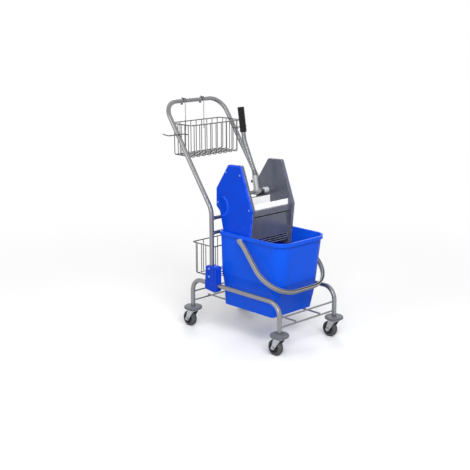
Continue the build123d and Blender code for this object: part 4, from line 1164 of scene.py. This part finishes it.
class TROLLEY_OT_studio(bpy.types.Operator):
    """Set the floor, the light and the camera"""

    bl_idname = "trolley.set_studio"
    bl_label = "Studio"

    def execute(self, context):
        scene = context.scene
        studio = scene.trolley_studio
        scene.view_settings.view_transform = "Standard"
        self.lay_floor(scene, studio)
        self.light_world(scene, studio)
        self.hang_lamps(scene, studio)
        self.place_camera(scene, studio)
        return {"FINISHED"}

    def lay_floor(self, scene, studio):
        """Lay a wide round floor that fades into the white background."""
        floor_radius = 60
        work = bmesh.new()
        bmesh.ops.create_circle(work, cap_ends=True, segments=96, radius=floor_radius)
        mesh = bpy.data.meshes.new("studio_floor")
        work.to_mesh(mesh)
        work.free()
        floor = bpy.data.objects.new("studio_floor", mesh)
        scene.collection.objects.link(floor)
        material, tree, shader = start_material("Studio floor")
        tone = mix_colour(tree, self.seen(tree), studio.bounce, studio.floor)
        tree.links.new(tone, shader.inputs["Base Color"])
        shader.inputs["Roughness"].default_value = 0.9
        shader.inputs["Specular IOR Level"].default_value = 0.1
        distance = tree.nodes.new("ShaderNodeVectorMath")
        distance.operation = "LENGTH"
        tree.links.new(piece_position(tree), distance.inputs[0])
        far = add_range(tree, distance.outputs["Value"], studio.fade_start, studio.fade_end)
        white = tree.nodes.new("ShaderNodeEmission")
        mix = tree.nodes.new("ShaderNodeMixShader")
        tree.links.new(add_math(tree, "MULTIPLY", far, self.seen(tree)), mix.inputs["Fac"])
        tree.links.new(shader.outputs["BSDF"], mix.inputs[1])
        tree.links.new(white.outputs["Emission"], mix.inputs[2])
        tree.links.new(mix.outputs["Shader"], tree.nodes["Material Output"].inputs["Surface"])
        mesh.materials.append(material)

    def seen(self, tree):
        """Give 1 for rays that show the background itself, and 0 for those that carry its light."""
        rays = tree.nodes.new("ShaderNodeLightPath").outputs
        mirrored = add_math(tree, "MAXIMUM", rays["Is Glossy Ray"], rays["Is Transmission Ray"])
        return add_math(tree, "MAXIMUM", rays["Is Camera Ray"], mirrored)

    def light_world(self, scene, studio):
        """Light from all round, with plain white behind."""
        world = bpy.data.worlds.new("Studio")
        world.use_nodes = True
        scene.world = world
        tree = world.node_tree
        lit = tree.nodes["Background"]
        lit.inputs["Color"].default_value = (1, 1, 1, 1)
        lit.inputs["Strength"].default_value = studio.sky
        white = tree.nodes.new("ShaderNodeBackground")
        white.inputs["Color"].default_value = (1, 1, 1, 1)
        white.inputs["Strength"].default_value = 1.0
        mix = tree.nodes.new("ShaderNodeMixShader")
        tree.links.new(self.seen(tree), mix.inputs["Fac"])
        tree.links.new(lit.outputs["Background"], mix.inputs[1])
        tree.links.new(white.outputs["Background"], mix.inputs[2])
        tree.links.new(mix.outputs["Shader"], tree.nodes["World Output"].inputs["Surface"])

    def hang_lamps(self, scene, studio):
        """Hang the lamps, all facing the trolley."""
        aim = Vector((0, 0, studio.aim_height))
        for name, place, size, power, mirrored in LAMPS:
            light = bpy.data.lights.new(name, "AREA")
            light.shape = "RECTANGLE"
            light.size, light.size_y = size
            light.energy = power
            lamp = bpy.data.objects.new(name, light)
            lamp.location = place
            lamp.visible_glossy = mirrored
            lamp.rotation_mode = "QUATERNION"
            lamp.rotation_quaternion = (aim - Vector(place)).to_track_quat("-Z", "Y")
            scene.collection.objects.link(lamp)

    def place_camera(self, scene, studio):
        """Place the camera and face it to the trolley."""
        data = bpy.data.cameras.new("camera")
        data.sensor_width = 36
        data.lens = studio.lens
        data.shift_x = studio.shift_x
        data.shift_y = studio.shift_y
        camera = bpy.data.objects.new("camera", data)
        level = math.cos(studio.elevation)
        ahead = math.sin(studio.azimuth) * level
        aside = -math.cos(studio.azimuth) * level
        away = Vector((ahead, aside, math.sin(studio.elevation)))
        camera.location = Vector((0, 0, studio.aim_height)) + away * studio.distance
        camera.rotation_mode = "QUATERNION"
        camera.rotation_quaternion = (-away).to_track_quat("-Z", "Y")
        scene.collection.objects.link(camera)
        scene.camera = camera


OPERATORS = (
    TROLLEY_OT_studio,
    TROLLEY_OT_frame,
    TROLLEY_OT_casters,
    TROLLEY_OT_bucket,
    TROLLEY_OT_wringer,
    TROLLEY_OT_lever,
    TROLLEY_OT_baskets,
)


class TROLLEY_PT_sidebar(bpy.types.Panel):
    """Lists the trolley's operators and properties"""

    bl_label = "Mop-bucket trolley"
    bl_idname = "TROLLEY_PT_sidebar"
    bl_space_type = "VIEW_3D"
    bl_region_type = "UI"
    bl_category = "Trolley"

    def draw(self, context):
        for operator in OPERATORS:
            self.layout.operator(operator.bl_idname)
        for group in ("trolley_colours", "trolley_details", "trolley_studio"):
            box = self.layout.box()
            settings = getattr(context.scene, group)
            for name in settings.__annotations__:
                box.prop(settings, name)


CLASSES = (TrolleyColours, TrolleyDetails, TrolleyStudio, *OPERATORS, TROLLEY_PT_sidebar)


def register():
    for item in CLASSES:
        bpy.utils.register_class(item)
    bpy.types.Scene.trolley_colours = bpy.props.PointerProperty(type=TrolleyColours)
    bpy.types.Scene.trolley_details = bpy.props.PointerProperty(type=TrolleyDetails)
    bpy.types.Scene.trolley_studio = bpy.props.PointerProperty(type=TrolleyStudio)


def unregister():
    del bpy.types.Scene.trolley_studio
    del bpy.types.Scene.trolley_details
    del bpy.types.Scene.trolley_colours
    for item in reversed(CLASSES):
        bpy.utils.unregister_class(item)


def main():
    register()
    bpy.ops.trolley.set_studio()
    bpy.ops.trolley.dress_frame()
    bpy.ops.trolley.dress_casters()
    bpy.ops.trolley.dress_bucket()
    bpy.ops.trolley.dress_wringer()
    bpy.ops.trolley.dress_lever()
    bpy.ops.trolley.dress_baskets()


if __name__ == "__main__":
    main()
